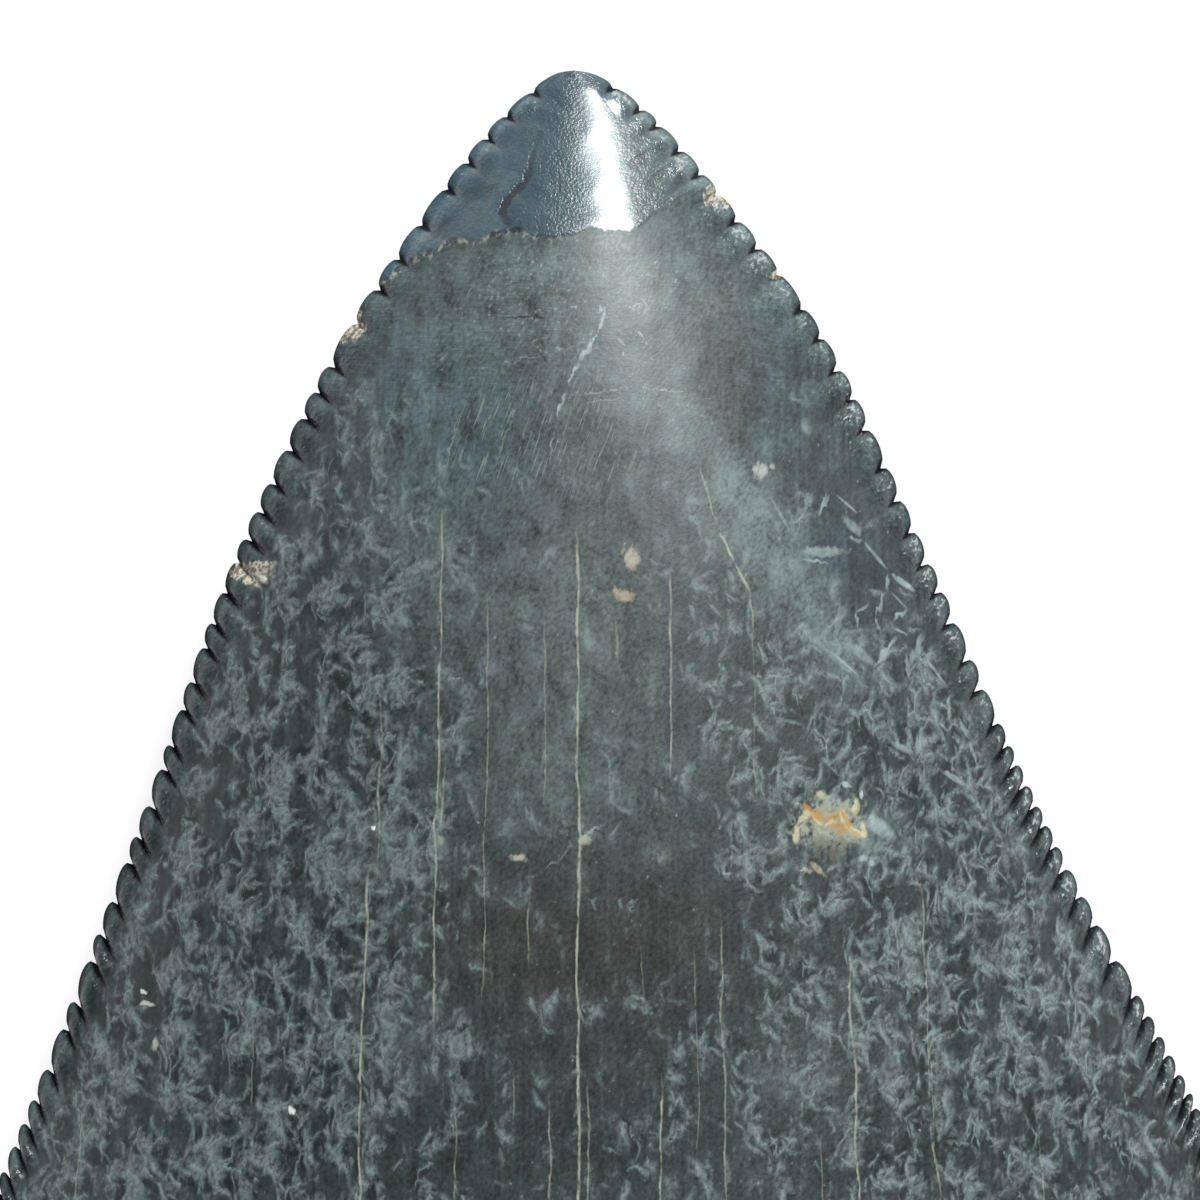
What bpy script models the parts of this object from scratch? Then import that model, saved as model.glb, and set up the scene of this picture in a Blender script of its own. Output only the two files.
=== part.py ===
"""A fossil shark tooth of the largest kind, lying on its flat labial face with its tip towards +Y.

The tooth grew as one piece, so it is one closed solid: a triangular crown with two serrated cutting
edges, and a thick root with two lobes and an arch between them. The solid is a loft. Each row runs
from the left outline to the right one, and carries a bowed upper (lingual) face and a flat lower
(labial) face. Stations are measured in millimetres down from the tip.
"""

import bpy
import numpy as np

MM = 0.001  # one millimetre in metres

# Outlines of the two sides, as (station below the tip, distance from the tip's own axis), in mm.
# The first run is the cutting edge, and the last three points are the side of the root.
LEFT_SIDE = (
    (0, 0), (0.04, 0.32), (0.15, 0.58), (0.36, 0.9), (0.8, 1.45), (1.6, 2.25), (3.5, 3.75), (7.2, 6.2),
    (13, 9.0), (20, 11.5), (30, 15.4), (45, 22.2), (60, 29.8), (75, 38.0), (88, 45.2), (94, 47.6),
    (100, 48.2), (106, 46.8),
)
RIGHT_SIDE = (
    (0, 0), (0.03, 0.34), (0.12, 0.66), (0.32, 1.03), (0.8, 1.7), (1.6, 2.55), (3.5, 4.15), (7.2, 6.8),
    (13, 9.5), (20, 12.6), (26, 15.8), (45, 25.4), (60, 33.2), (75, 41.6), (88, 49.0), (94, 51.4),
    (100, 52.0), (106, 50.2),
)
# The root's lower rim, as (place across from -1 to 1, station): a lobe, the arch and a lobe.
ROOT_RIM = (
    (-1, 106), (-0.95, 110.4), (-0.85, 115.6), (-0.72, 119.2), (-0.6, 120), (-0.46, 117.6), (-0.28, 111.2),
    (-0.12, 107.2), (0.02, 106), (0.16, 107.6), (0.32, 112), (0.48, 117), (0.61, 119.2), (0.73, 118.6),
    (0.87, 115), (0.96, 110.2), (1, 106),
)
CROWN_SIDE = 94.0  # station where the enamel ends at either side
CROWN_RISE = 10.0  # how far the enamel's lower line rises towards the tip at mid-width
RISE_POWER = 1.6  # shape of that line across the tooth
ROOT_CORNER = 106.0  # station of the root's outer corners

# Heights in mm, as (station, height).
EDGE_HEIGHT = ((0, 3.0), (10, 3.0), (30, 3.6), (60, 5.0), (88, 6.0), (106, 5.6), (120, 5.2))
UPPER_BOW = (
    (0, 0.12), (0.5, 0.27), (1, 0.45), (2, 0.85), (3.5, 1.43), (5, 1.97), (10, 3.1), (20, 4.4), (30, 5.4),
    (60, 9.2), (84, 12.0), (96, 11.0), (108, 8.6), (120, 6.4),
)
TIP_LIFT = 1.5  # how far the lower face curves up under the tip
LIFT_LENGTH = 34.0  # the length from the tip over which it curves
LOWER_FLATNESS = 1.3  # over 1, so that the lower face levels off to a flat band
LOWER_POWER = 2.4  # shape of the lower face across the crown
UPPER_POWER = ((6, 2.0), (18, 2.7))  # the upper face's, by station
BULGE_HEIGHT = 8.0  # the root's swelling on the upper face
BULGE_STATION = 97.0
BULGE_HALF_WIDTH = 22.0
BULGE_HALF_LENGTH = 9.5
BLADE_END = 0.92  # part of the crown's length after which its edges thicken into the root
SIDE_ROUND = 7.0  # radius of the root's rounded sides
RIM_ROUND = 9.0  # radius of its rounded lower rim

# Serrations: lengths along the edge in mm.
FIRST_SERRATION = 1.2  # length along the edge from the tip to the first notch
LEFT_PITCH = (0.83, 0.98)  # at the tip's end and at the root's end
RIGHT_PITCH = (0.75, 0.88)
NOTCH_DEPTH = 0.30
PITCH_SPREAD = 0.22  # how much one serration differs from the next
SERRATION_SHAPE = ((0.0, 1.0), (0.22, 0.1), (0.55, 0.08))  # (part of the pitch, part of the depth)
EDGE_STRIP = 1.2  # width of the strip between the serrated outline and the faces
LARGEST_STRIP = 0.35  # and the most of a half row that it takes, near the tip
LEFT_SEED = 11
RIGHT_SEED = 23

# The loft's mesh.
CROWN_ROWS = 44
ROOT_ROWS = 16
COLUMNS = 24
TIP_CROWDING = 1.35  # over 1, so that rows lie closer together near the tip
RIM_CROWDING = 1.8  # and near the root's rim
COLUMN_ARC = 0.72 * np.pi / 2  # columns are spaced as the sine of angles up to this, closer at the sides
ENAMEL_COLOUR = (0.045, 0.054, 0.056, 1.0)
ENAMEL_ROUGHNESS = 0.34


def smooth_path(points, samples=1500):
    """A Catmull-Rom curve through the points, evenly sampled in chord length."""
    points = np.array(points, float)
    chord = np.r_[0, np.cumsum(np.hypot(*np.diff(points, axis=0).T) ** 0.5)]
    slope = np.gradient(points, chord, axis=0)
    at = np.linspace(0, chord[-1], samples)
    i = np.clip(np.searchsorted(chord, at, side="right") - 1, 0, len(chord) - 2)
    step = (chord[i + 1] - chord[i])[:, None]
    t = ((at - chord[i])[:, None]) / step
    start, end = points[i], points[i + 1]
    return (
        (2 * t**3 - 3 * t**2 + 1) * start
        + (t**3 - 2 * t**2 + t) * step * slope[i]
        + (3 * t**2 - 2 * t**3) * end
        + (t**3 - t**2) * step * slope[i + 1]
    )


def read_off(points, at):
    """The height of the smooth curve through (place, value) points."""
    path = smooth_path(points)
    return np.interp(at, path[:, 0], path[:, 1])


def ease(t):
    """A smooth step from 0 to 1."""
    t = np.clip(t, 0, 1)
    return t * t * (3 - 2 * t)


def rounding(distance, radius):
    """A quarter circle: 0 at the rim, 1 from one radius inwards."""
    return np.sqrt(1 - (1 - np.clip(distance / radius, 0, 1)) ** 2)


def serrated_edge(side_points, pitch, seed):
    """The cutting edge from the tip to the root as (station, distance) points, with its notches cut in."""
    path = smooth_path(side_points)
    path = path[path[:, 0] <= CROWN_SIDE]
    path[-1, 0] = CROWN_SIDE
    along = np.r_[0, np.cumsum(np.hypot(*np.diff(path, axis=0).T))]
    tangent = np.gradient(path, along, axis=0)
    tangent /= np.hypot(*tangent.T)[:, None]
    random = np.random.default_rng(seed)
    notches = [FIRST_SERRATION]
    while notches[-1] < along[-1] - 2 * pitch[1]:
        mean = np.interp(notches[-1], (0, along[-1]), pitch)
        notches.append(notches[-1] + mean * (1 + random.uniform(-PITCH_SPREAD, PITCH_SPREAD)))
    places = list(np.linspace(0, FIRST_SERRATION, 4)[:-1])
    depths = [0.0] * len(places)
    for start, end in zip(notches[:-1], notches[1:]):
        for part, depth in SERRATION_SHAPE:
            places.append(start + part * (end - start))
            depths.append(depth * NOTCH_DEPTH)
    places += [notches[-1], along[-1]]
    depths += [NOTCH_DEPTH, 0.0]
    station = np.interp(places, along, path[:, 0])
    distance = np.interp(places, along, path[:, 1])
    inward_station = np.interp(places, along, tangent[:, 1])
    inward_distance = -np.interp(places, along, tangent[:, 0])
    depths = np.array(depths)
    return np.c_[station + inward_station * depths, distance + inward_distance * depths]


def blade(u, station):
    """Section of the crown's upper face: flat in the middle and falling to the cutting edges."""
    return 1 - np.abs(u) ** np.interp(station, *zip(*UPPER_POWER))


def heights(u, station, x, root_part, to_side, to_rim):
    """Upper and lower height of a point. root_part is 0 on the crown and 1 on the root."""
    round_part = rounding(to_side, SIDE_ROUND) * rounding(to_rim, RIM_ROUND)
    upper_part = (1 - root_part) * blade(u, station) + root_part * round_part
    lower_part = (1 - root_part) * (1 - np.abs(u) ** LOWER_POWER) + root_part * round_part
    edge = read_off(EDGE_HEIGHT, station)
    bulge = BULGE_HEIGHT * np.exp(
        -((x / BULGE_HALF_WIDTH) ** 2) - ((station - BULGE_STATION) / BULGE_HALF_LENGTH) ** 2
    )
    upper = edge + (read_off(UPPER_BOW, station) + bulge) * upper_part
    ground = TIP_LIFT * np.clip(1 - station / LIFT_LENGTH, 0, 1) ** 2
    lower = np.maximum(edge - LOWER_FLATNESS * edge * lower_part, ground)
    return upper, lower


def columns_across(width):
    """Places across a row from -1 to 1, short of the outline by the strip's width at either end."""
    inset = np.minimum(EDGE_STRIP / (width / 2), LARGEST_STRIP)
    spread = np.sin(np.linspace(-1, 1, COLUMNS + 1) * COLUMN_ARC) / np.sin(COLUMN_ARC)
    return (1 - inset) * spread


def tooth_rows():
    """The loft's rows from under the tip to the root's rim, as arrays of (x, station, upper, lower)."""
    left_side, right_side = smooth_path(LEFT_SIDE).T, smooth_path(RIGHT_SIDE).T
    rows = []
    for row in range(1, CROWN_ROWS + 1):
        part = (row / CROWN_ROWS) ** TIP_CROWDING
        end = CROWN_SIDE * part
        left, right = -np.interp(end, *left_side), np.interp(end, *right_side)
        u = columns_across(right - left)
        x = left + (right - left) * (u + 1) / 2
        station = end - CROWN_RISE * part**2 * (1 - np.abs(u) ** RISE_POWER)
        to_side = (1 - np.abs(u)) * (right - left) / 2
        upper, lower = heights(u, station, x, ease((part - BLADE_END) / (1 - BLADE_END)), to_side, RIM_ROUND)
        rows.append(np.c_[x, station, upper, lower])
    for row in range(1, ROOT_ROWS + 1):
        part = 1 - (1 - row / ROOT_ROWS) ** RIM_CROWDING
        end = CROWN_SIDE + (ROOT_CORNER - CROWN_SIDE) * part
        left, right = -np.interp(end, *left_side), np.interp(end, *right_side)
        u = np.r_[-1, columns_across(right - left), 1]
        x = left + (right - left) * (u + 1) / 2
        top = CROWN_SIDE - CROWN_RISE * (1 - np.abs(u) ** RISE_POWER)
        rim = read_off(ROOT_RIM, u)
        station = top + (rim - top) * part
        to_side = (1 - np.abs(u)) * (right - left) / 2
        upper, lower = heights(u, station, x, 1.0, to_side, (1 - part) * (rim - top))
        rows.append(np.c_[x, station, upper, lower])
    return rows


def join_lines(first, first_at, second, second_at):
    """Triangles between two lines of points, stepping along whichever of them is behind."""
    faces = []
    i = j = 0
    while i < len(first) - 1 or j < len(second) - 1:
        if j == len(second) - 1 or (i < len(first) - 1 and first_at[i + 1] <= second_at[j + 1]):
            faces.append((first[i], first[i + 1], second[j]))
            i += 1
        else:
            faces.append((first[i], second[j + 1], second[j]))
            j += 1
    return faces


def turned(faces):
    """The same faces, seen from the other side."""
    return [tuple(reversed(face)) for face in faces]


def tooth_mesh():
    """Joins the rows, the serrated edges and the root's rim into one closed surface."""
    points = []

    def add(x, station, height):
        points.append((x, -station, height))
        return len(points) - 1

    rows = tooth_rows()
    crown, root = rows[:CROWN_ROWS], rows[CROWN_ROWS:]
    tip = add(0.0, 0.0, float(read_off(EDGE_HEIGHT, 0.0)))
    edges = {}
    for side, sign, shape, pitch, seed in (
        ("left", -1, LEFT_SIDE, LEFT_PITCH, LEFT_SEED),
        ("right", 1, RIGHT_SIDE, RIGHT_PITCH, RIGHT_SEED),
    ):
        line = serrated_edge(shape, pitch, seed)[1:]
        edge = read_off(EDGE_HEIGHT, line[:, 0])
        edges[side] = [tip] + [add(sign * d, s, z) for (s, d), z in zip(line, edge)]
        edges[side + " at"] = np.r_[0, line[:, 0]]

    faces = []
    shared = {}  # the root's outline, which both faces use
    for face in ("upper", "lower"):
        pick = 2 if face == "upper" else 3
        grid = [[add(p[0], p[1], p[pick]) for p in row] for row in crown]
        made = [(tip, grid[0][c], grid[0][c + 1]) for c in range(COLUMNS)]
        for above, below in zip(grid[:-1], grid[1:]):
            for c in range(COLUMNS):
                made.append((above[c], below[c], below[c + 1], above[c + 1]))
        inner = [row[0] for row in grid]
        made += join_lines(edges["left"], edges["left at"], inner, [row[0][1] for row in crown])
        inner = [row[-1] for row in grid]
        made += turned(join_lines(edges["right"], edges["right at"], inner, [row[-1][1] for row in crown]))
        above = [edges["left"][-1]] + grid[-1] + [edges["right"][-1]]
        for number, row in enumerate(root):
            last = number == len(root) - 1
            below = []
            for c, p in enumerate(row):
                rim = last or c in (0, len(row) - 1)
                key = (number, c)
                if rim and key not in shared:
                    shared[key] = add(p[0], p[1], float(read_off(EDGE_HEIGHT, p[1])))
                below.append(shared[key] if rim else add(p[0], p[1], p[pick]))
            for c in range(len(below) - 1):
                made.append((above[c], below[c], below[c + 1], above[c + 1]))
            above = below
        faces += made if face == "upper" else turned(made)
    return np.array(points), faces


def build_tooth():
    """The tooth as one mesh object, with its origin under the middle of its bounding box."""
    points, faces = tooth_mesh()
    low, high = points.min(0), points.max(0)
    points -= ((low[0] + high[0]) / 2, (low[1] + high[1]) / 2, low[2])
    mesh = bpy.data.meshes.new("tooth")
    mesh.from_pydata((points * MM).tolist(), [], faces)
    mesh.validate()
    mesh.update()
    mesh.shade_smooth()
    mesh.set_sharp_from_angle(angle=0.6)
    tooth = bpy.data.objects.new("tooth", mesh)
    enamel = bpy.data.materials.new("fossil_enamel")
    enamel.use_nodes = True
    shader = enamel.node_tree.nodes["Principled BSDF"]
    shader.inputs["Base Color"].default_value = ENAMEL_COLOUR
    shader.inputs["Roughness"].default_value = ENAMEL_ROUGHNESS
    shader.inputs["Metallic"].default_value = 0.0
    mesh.materials.append(enamel)
    return tooth


for old in list(bpy.data.objects):
    bpy.data.objects.remove(old)
collection = bpy.data.collections.new("megalodon_tooth")
bpy.context.scene.collection.children.link(collection)
collection.objects.link(build_tooth())
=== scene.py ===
"""The looks of a fossil shark tooth that lies on its flat face: an enamel crown with serrated edges, a
smooth cap on its tip, and a porous root. Lengths inside are millimetres: x is measured from the tip's
own axis, and a station is the distance below the tip."""

import bpy
import numpy as np
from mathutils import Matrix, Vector


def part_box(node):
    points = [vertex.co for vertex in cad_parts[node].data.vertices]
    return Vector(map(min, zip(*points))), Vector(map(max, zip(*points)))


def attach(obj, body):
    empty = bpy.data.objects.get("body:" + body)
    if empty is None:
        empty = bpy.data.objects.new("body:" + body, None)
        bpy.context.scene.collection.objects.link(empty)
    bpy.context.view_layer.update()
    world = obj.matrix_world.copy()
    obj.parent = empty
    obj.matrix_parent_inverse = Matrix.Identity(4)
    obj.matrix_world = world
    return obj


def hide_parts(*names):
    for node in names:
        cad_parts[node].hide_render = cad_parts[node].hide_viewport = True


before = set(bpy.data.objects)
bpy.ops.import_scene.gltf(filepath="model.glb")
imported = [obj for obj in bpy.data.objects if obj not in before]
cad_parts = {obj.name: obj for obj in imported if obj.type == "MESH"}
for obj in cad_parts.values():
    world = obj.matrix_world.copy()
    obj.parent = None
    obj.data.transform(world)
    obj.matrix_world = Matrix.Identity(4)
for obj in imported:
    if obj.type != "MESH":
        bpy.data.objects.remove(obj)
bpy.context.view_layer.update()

MM = 0.001  # one millimetre in metres

# ---------------------------------------------------------------- sizes, the same as the solid's

LEFT_SIDE = (
    (0, 0), (0.04, 0.32), (0.15, 0.58), (0.36, 0.9), (0.8, 1.45), (1.6, 2.25), (3.5, 3.75), (7.2, 6.2),
    (13, 9.0), (20, 11.5), (30, 15.4), (45, 22.2), (60, 29.8), (75, 38.0), (88, 45.2), (94, 47.6),
    (100, 48.2), (106, 46.8),
)
RIGHT_SIDE = (
    (0, 0), (0.03, 0.34), (0.12, 0.66), (0.32, 1.03), (0.8, 1.7), (1.6, 2.55), (3.5, 4.15), (7.2, 6.8),
    (13, 9.5), (20, 12.6), (26, 15.8), (45, 25.4), (60, 33.2), (75, 41.6), (88, 49.0), (94, 51.4),
    (100, 52.0), (106, 50.2),
)
ROOT_RIM = (
    (-1, 106), (-0.95, 110.4), (-0.85, 115.6), (-0.72, 119.2), (-0.6, 120), (-0.46, 117.6),
    (-0.28, 111.2), (-0.12, 107.2), (0.02, 106), (0.16, 107.6), (0.32, 112), (0.48, 117), (0.61, 119.2),
    (0.73, 118.6), (0.87, 115), (0.96, 110.2), (1, 106),
)
CROWN_SIDE = 94.0  # station where the enamel ends at either side
ROOT_CORNER = 106.0
# By station: the cutting edge's height, how far the upper face rises above it, and that rise's power across.
EDGE_HEIGHT = ((0, 3.0), (10, 3.0), (30, 3.6), (60, 5.0), (88, 6.0), (106, 5.6), (120, 5.2))
UPPER_BOW = (
    (0, 0.12), (0.5, 0.27), (1, 0.45), (2, 0.85), (3.5, 1.43), (5, 1.97), (10, 3.1), (20, 4.4), (30, 5.4),
    (60, 9.2), (84, 12.0), (96, 11.0), (108, 8.6), (120, 6.4),
)
UPPER_POWER = ((6, 2.0), (18, 2.7))
TIP_LIFT = 1.5  # how far the underside stands off the ground at the tip
LIFT_LENGTH = 34.0
LOWER_FLATNESS = 1.3  # how many edge heights the underside would drop, if the ground didn't cut it flat
LOWER_POWER = 2.4
GROUND_ROUND = 0.4
# The root's bulge at mid-width.
BULGE_HEIGHT = 8.0
BULGE_STATION = 97.0
BULGE_HALF_WIDTH = 22.0
BULGE_HALF_LENGTH = 9.5
BLADE_END = 0.92  # share of the crown's length that is a blade
# Radii of the root's sides and rim.
SIDE_ROUND = 7.0
RIM_ROUND = 9.0

# ---------------------------------------------------------------- sizes of the finer shape

# How far the enamel's lower line rises towards the tip at mid-width, on the upper and the lower face.
UPPER_RISE = 14.0
LOWER_RISE = 9.0
RISE_POWER = 1.6
ENAMEL = 0.3  # step from the enamel down to the root
OVERLAP = 4.0  # how far the root runs on, hidden, inside the crown

FIRST_NOTCH = 1.25  # length along either edge from the tip to the first notch
FIRST_NOTCH_RISE = 0.3
# The bead and the groove before it.
TIP_BEAD = 0.3
TIP_GROOVE = 0.6
# Serration lengths along the edge, as (station, length).
LEFT_PITCH = (
    (0, 0.83), (2, 0.86), (3.4, 1.04), (6, 1.08), (8, 0.88), (12, 0.8), (20, 0.84), (23, 0.95),
    (26.6, 0.97), (27.6, 0.62), (30.5, 0.62), (32, 0.85), (94, 1.08),
)
RIGHT_PITCH = (
    (0, 0.8), (1.5, 0.73), (3.5, 0.82), (5, 0.95), (6.6, 0.95), (8, 0.86), (9.6, 0.8), (10.4, 1.06),
    (11.6, 1.0), (12.2, 0.77), (14.4, 0.8), (15.2, 1.06), (16.6, 1.05), (17.2, 0.7), (18.2, 0.54),
    (20.4, 0.55), (21.4, 0.78), (22.8, 1.06), (24.2, 1.0), (24.8, 0.52), (27.3, 0.52), (29, 0.74),
    (94, 0.94),
)
LEFT_ROWS_EACH = 9  # mesh rows to one serration
RIGHT_ROWS_EACH = 8
SERRATION_BLOCKS = 14  # 8 serrations on the left and 9 on the right take the same rows
# How deep the notches are, along a serration's own axis.
NOTCH_DEPTH = ((0, 0.13), (3, 0.16), (6, 0.21), (12, 0.27), (24, 0.36), (94, 0.4))
# Spreads of the notches' places, in serrations, of their depths, and of the serrations' swell.
NOTCH_SHIFT = 0.17
NOTCH_SPREAD = (0.75, 1.2)
SWELL_SPREAD = (0.55, 1.3)
SERRATION_TURN = ((0, 38), (12, 44), (22, 58), (32, 66), (94, 66))  # from straight inwards, in degrees
BAND = 1.5  # length of a serration's ridge on the face
BAND_SHARE = 0.42  # and at most this part of half the width
# Columns and rows of the mesh, and how far they crowd towards the edge and the tip.
BAND_COLUMNS, BAND_CROWDING = 9, 1.6
UPPER_COLUMNS, LOWER_COLUMNS = 38, 22
TIP_ROWS, TIP_CROWDING = 12, 1.3
LIP = 0.07  # half the thickness of the cutting edge
LIP_ROUND = 0.3
LIP_BEGINS = 0.5  # station from which it is that thick
BEAD = ((0, 0.14), (4, 0.2), (7, 0.36), (12, 0.44), (94, 0.44))  # how far a serration swells above the face
BEAD_RISE = 0.55  # length over which it rises from the edge
# Lengths along the ridges over which serrations and the grooves between them run out on the face.
BEAD_LENGTH = {
    "left": ((0, 0.75), (12, 0.95), (94, 1.1)),
    "right": ((0, 0.65), (16, 0.62), (20, 1.0), (94, 1.1)),
}
GROOVE = 0.2  # how far the groove between two serrations sinks
GROOVE_RISE = 0.25
GROOVE_LENGTH = {
    "left": ((0, 0.3), (5, 0.4), (9, 0.55), (94, 0.6)),
    "right": ((0, 0.3), (16, 0.42), (20, 0.7), (94, 0.8)),
}
GLOSS_AND_HIGHLIGHT = {"left": 0.3, "right": 1.0}  # how strongly a painted highlight, and more gloss, lie on the serrations' side towards the tip
GLOSS_AND_HIGHLIGHT_RISE = 0.16
GLOSS_AND_HIGHLIGHT_LENGTH = 0.7  # length along the ridges over which that runs out
UNEVEN = 0.035  # slow waves of the enamel
CAP_STEP = 0.02  # how far the smooth cap stands proud of the enamel
CAP_STEP_LENGTH = 0.24
CAP_RAGGED = 0.16  # how far its border wanders
# The cap's lower border, as (x, station).
CAP_BORDER = {
    "upper": (
        (-6.0, 5.9), (-4.55, 5.4), (-3.8, 4.9), (-3.06, 4.6), (-1.9, 4.45), (-0.82, 4.65), (0.5, 4.5),
        (1.78, 4.36), (2.5, 3.7), (3.12, 3.2), (3.5, 3.15), (4.6, 3.2),
    ),
    "lower": ((-6.0, 5.2), (-3.4, 4.2), (-1.8, 3.9), (0.6, 4.8), (2.2, 3.6), (3.6, 3.5), (6.0, 4.2)),
}
# Patches of the enamel's colour, as (x, station, half width, half length, strength).
PATCHES = {
    "strands": (
        (-0.4, 16, 2.6, 4.0, -0.25), (-1.2, 22.8, 2.8, 1.6, -0.5), (3.0, 22.0, 2.0, 1.6, -0.4),
        (7.6, 13.6, 2.0, 2.6, -0.4), (-5.2, 20.6, 1.6, 1.2, 0.3), (0.3, 17.5, 0.9, 1.5, 0.3),
        (-4.6, 10.4, 1.5, 2.6, 0.45), (-6.4, 12.0, 1.2, 2.0, 0.3), (-5.6, 8.6, 1.0, 1.6, 0.35),
    ),
    "warm": (
        (-1.2, 22.8, 3.0, 1.7, 0.55), (3.0, 22.0, 2.2, 1.8, 0.5), (4.0, 8.0, 0.9, 2.0, 0.8),
        (0.4, 14, 3.2, 4.5, 0.45), (0.2, 24, 3.0, 3.5, 0.4), (-0.5, 6.5, 3.0, 1.0, 0.3),
    ),
    "cool": (
        (-2.5, 10.2, 1.3, 2.2, 0.6), (-4.4, 8.0, 1.2, 2.2, 0.5), (5.2, 8.0, 0.9, 2.0, 0.3),
        (7.5, 19.8, 1.6, 1.0, 0.5), (6.7, 12.8, 1.0, 0.7, 0.6),
    ),
    # Painted sheen: these patches lay a pale reflection into the colour, running from the cap down the right
    # shoulder, and elsewhere a pale haze.
    "haze": (
        (0.6, 6.4, 4.5, 2.0, 0.5), (1.4, 8.2, 1.0, 1.4, 0.3), (3.0, 9.6, 0.9, 1.2, 0.6),
        (4.2, 11.3, 0.85, 1.0, 0.85), (5.3, 12.9, 0.75, 0.9, 0.9), (6.1, 14.2, 0.7, 0.9, 0.85),
        (6.9, 15.6, 0.7, 1.0, 0.7), (7.9, 20.0, 0.8, 0.6, 0.7), (-5.0, 20.6, 1.4, 1.0, 0.5),
        (-4.0, 12.6, 1.4, 3.0, 0.4), (-4.2, 25.0, 1.0, 1.2, 0.4), (5.9, 26.0, 1.6, 1.4, 0.25),
        (-0.2, 14.5, 3.0, 4.5, 0.5), (4.6, 12.4, 1.5, 2.4, 0.25), (-3.4, 8.2, 2.0, 2.0, 0.2),
        (0.5, 18.6, 3.0, 1.6, 0.2), (0.0, 5.4, 3.2, 0.5, 0.35),
    ),
    "tone": (
        (-1.2, 22.8, 3.0, 1.7, -0.13), (3.0, 22.2, 2.2, 1.8, -0.12), (-4.4, 11.0, 1.6, 2.4, 0.1),
        (0.0, 16.0, 3.0, 4.0, 0.12), (0.0, 10.6, 3.0, 2.2, 0.13), (3.9, 7.8, 0.9, 1.7, -0.16),
        (-0.4, 6.2, 3.0, 1.3, 0.1),
    ),
}
# Pale silt that sits in the grooves of the edge, in the same terms.
SILT = {
    "upper": (
        (-5.9, 6.7, 0.5, 0.7, 0.9), (3.9, 3.3, 0.7, 0.5, 0.8), (-8.15, 13.35, 0.9, 0.36, 1.15),
        (5.2, 5.6, 0.5, 0.9, 0.4), (7.2, 9.8, 0.5, 1.2, 0.35), (-11.5, 18.0, 0.5, 2.0, 0.25),
    ),
    "lower": ((-7.6, 11.0, 0.8, 2.4, 0.7), (6.4, 8.0, 0.7, 2.0, 0.6), (14.0, 24.0, 0.8, 3.0, 0.5)),
}

SIDE_INSET = 0.6  # how far inside the crown's outline the root's hidden rows stay
LINE_DROP = 1.3  # from the line that the rows are bowed on to the enamel's end
ROOT_COLUMNS = 260
ROOT_CROWDING = 1.25
HIDDEN_ROWS = 6
HIDDEN_SINK = 2.0  # how much deeper they end
HIDDEN_INSET = 1.6  # and how much further from the sides
HIDDEN_START = 0.6  # how far inside the crown that begins
HIDDEN_LENGTH = 1.6  # and over what length
OPEN_ROWS = 170
RIM_CROWDING = 1.5
COLLAR = 6.0  # depth of the dark band below the enamel, at mid-width on the upper face
COLLAR_SIDE = 1.2
# Mouths of blood vessels on the root's bulge, as (x, station, radius, depth).
VESSELS = (
    (-1.6, 100.5, 0.55, 1.3), (3.4, 99.4, 0.45, 1.0), (9.5, 102.6, 0.3, 0.6), (-12.2, 101.5, 0.32, 0.6),
)


def smooth_path(points, samples=3000):
    """A Catmull-Rom curve through the points: on each stretch a cubic whose end slopes come from its
    neighbours."""
    points = np.array(points, float)
    chord = np.r_[0, np.cumsum(np.hypot(*np.diff(points, axis=0).T) ** 0.5)]
    slope = np.gradient(points, chord, axis=0)
    at = np.linspace(0, chord[-1], samples)
    i = np.clip(np.searchsorted(chord, at, side="right") - 1, 0, len(chord) - 2)
    step = (chord[i + 1] - chord[i])[:, None]
    t = (at - chord[i])[:, None] / step
    start, end = points[i], points[i + 1]
    return (
        (2 * t**3 - 3 * t**2 + 1) * start
        + (t**3 - 2 * t**2 + t) * step * slope[i]
        + (3 * t**2 - 2 * t**3) * end
        + (t**3 - t**2) * step * slope[i + 1]
    )


def read_off(points, at):
    """The height of the smooth curve through (place, value) points."""
    path = smooth_path(points)
    return np.interp(at, path[:, 0], path[:, 1])


def ease(t):
    """A smooth step: 3t^2 - 2t^3 between 0 and 1."""
    t = np.clip(t, 0, 1)
    return t * t * (3 - 2 * t)


def rounding(distance, radius):
    """A quarter circle: 0 at the rim, 1 from one radius inwards."""
    return np.sqrt(1 - (1 - np.clip(distance / radius, 0, 1)) ** 2)


def soft_max(a, b, reach):
    """The larger of two heights, with the corner between them rounded: half of
    a + b + root((a - b)^2 + reach^2)."""
    return 0.5 * (a + b + np.sqrt((a - b) ** 2 + reach**2))


def cloud(x, y, z, size, seed):
    """A smooth random field from -1 to 1: random numbers on a cubic lattice, `size` apart, blended by smooth
    steps."""
    lattice = np.random.default_rng(seed).uniform(-1, 1, (32, 32, 32))
    place = np.stack(np.broadcast_arrays(x, y, z)) / size
    cell = np.floor(place).astype(int)
    part = ease(place - cell)
    total = 0.0
    for corner in np.ndindex(2, 2, 2):
        weight = 1.0
        for axis, side in enumerate(corner):
            weight = weight * (part[axis] if side else 1 - part[axis])
        index = (cell + np.array(corner).reshape(3, *[1] * (place.ndim - 1))) % 32
        total = total + weight * lattice[index[0], index[1], index[2]]
    return total


SIDES = {"left": smooth_path(LEFT_SIDE), "right": smooth_path(RIGHT_SIDE)}
TIP_X = (SIDES["left"][:, 1].max() - SIDES["right"][:, 1].max()) / 2
TIP_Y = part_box("tooth")[1][1] / MM


def left_at(station):
    """The left outline's x at a station."""
    return -np.interp(station, SIDES["left"][:, 0], SIDES["left"][:, 1])


def right_at(station):
    """The right outline's x at a station."""
    return np.interp(station, SIDES["right"][:, 0], SIDES["right"][:, 1])


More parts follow.
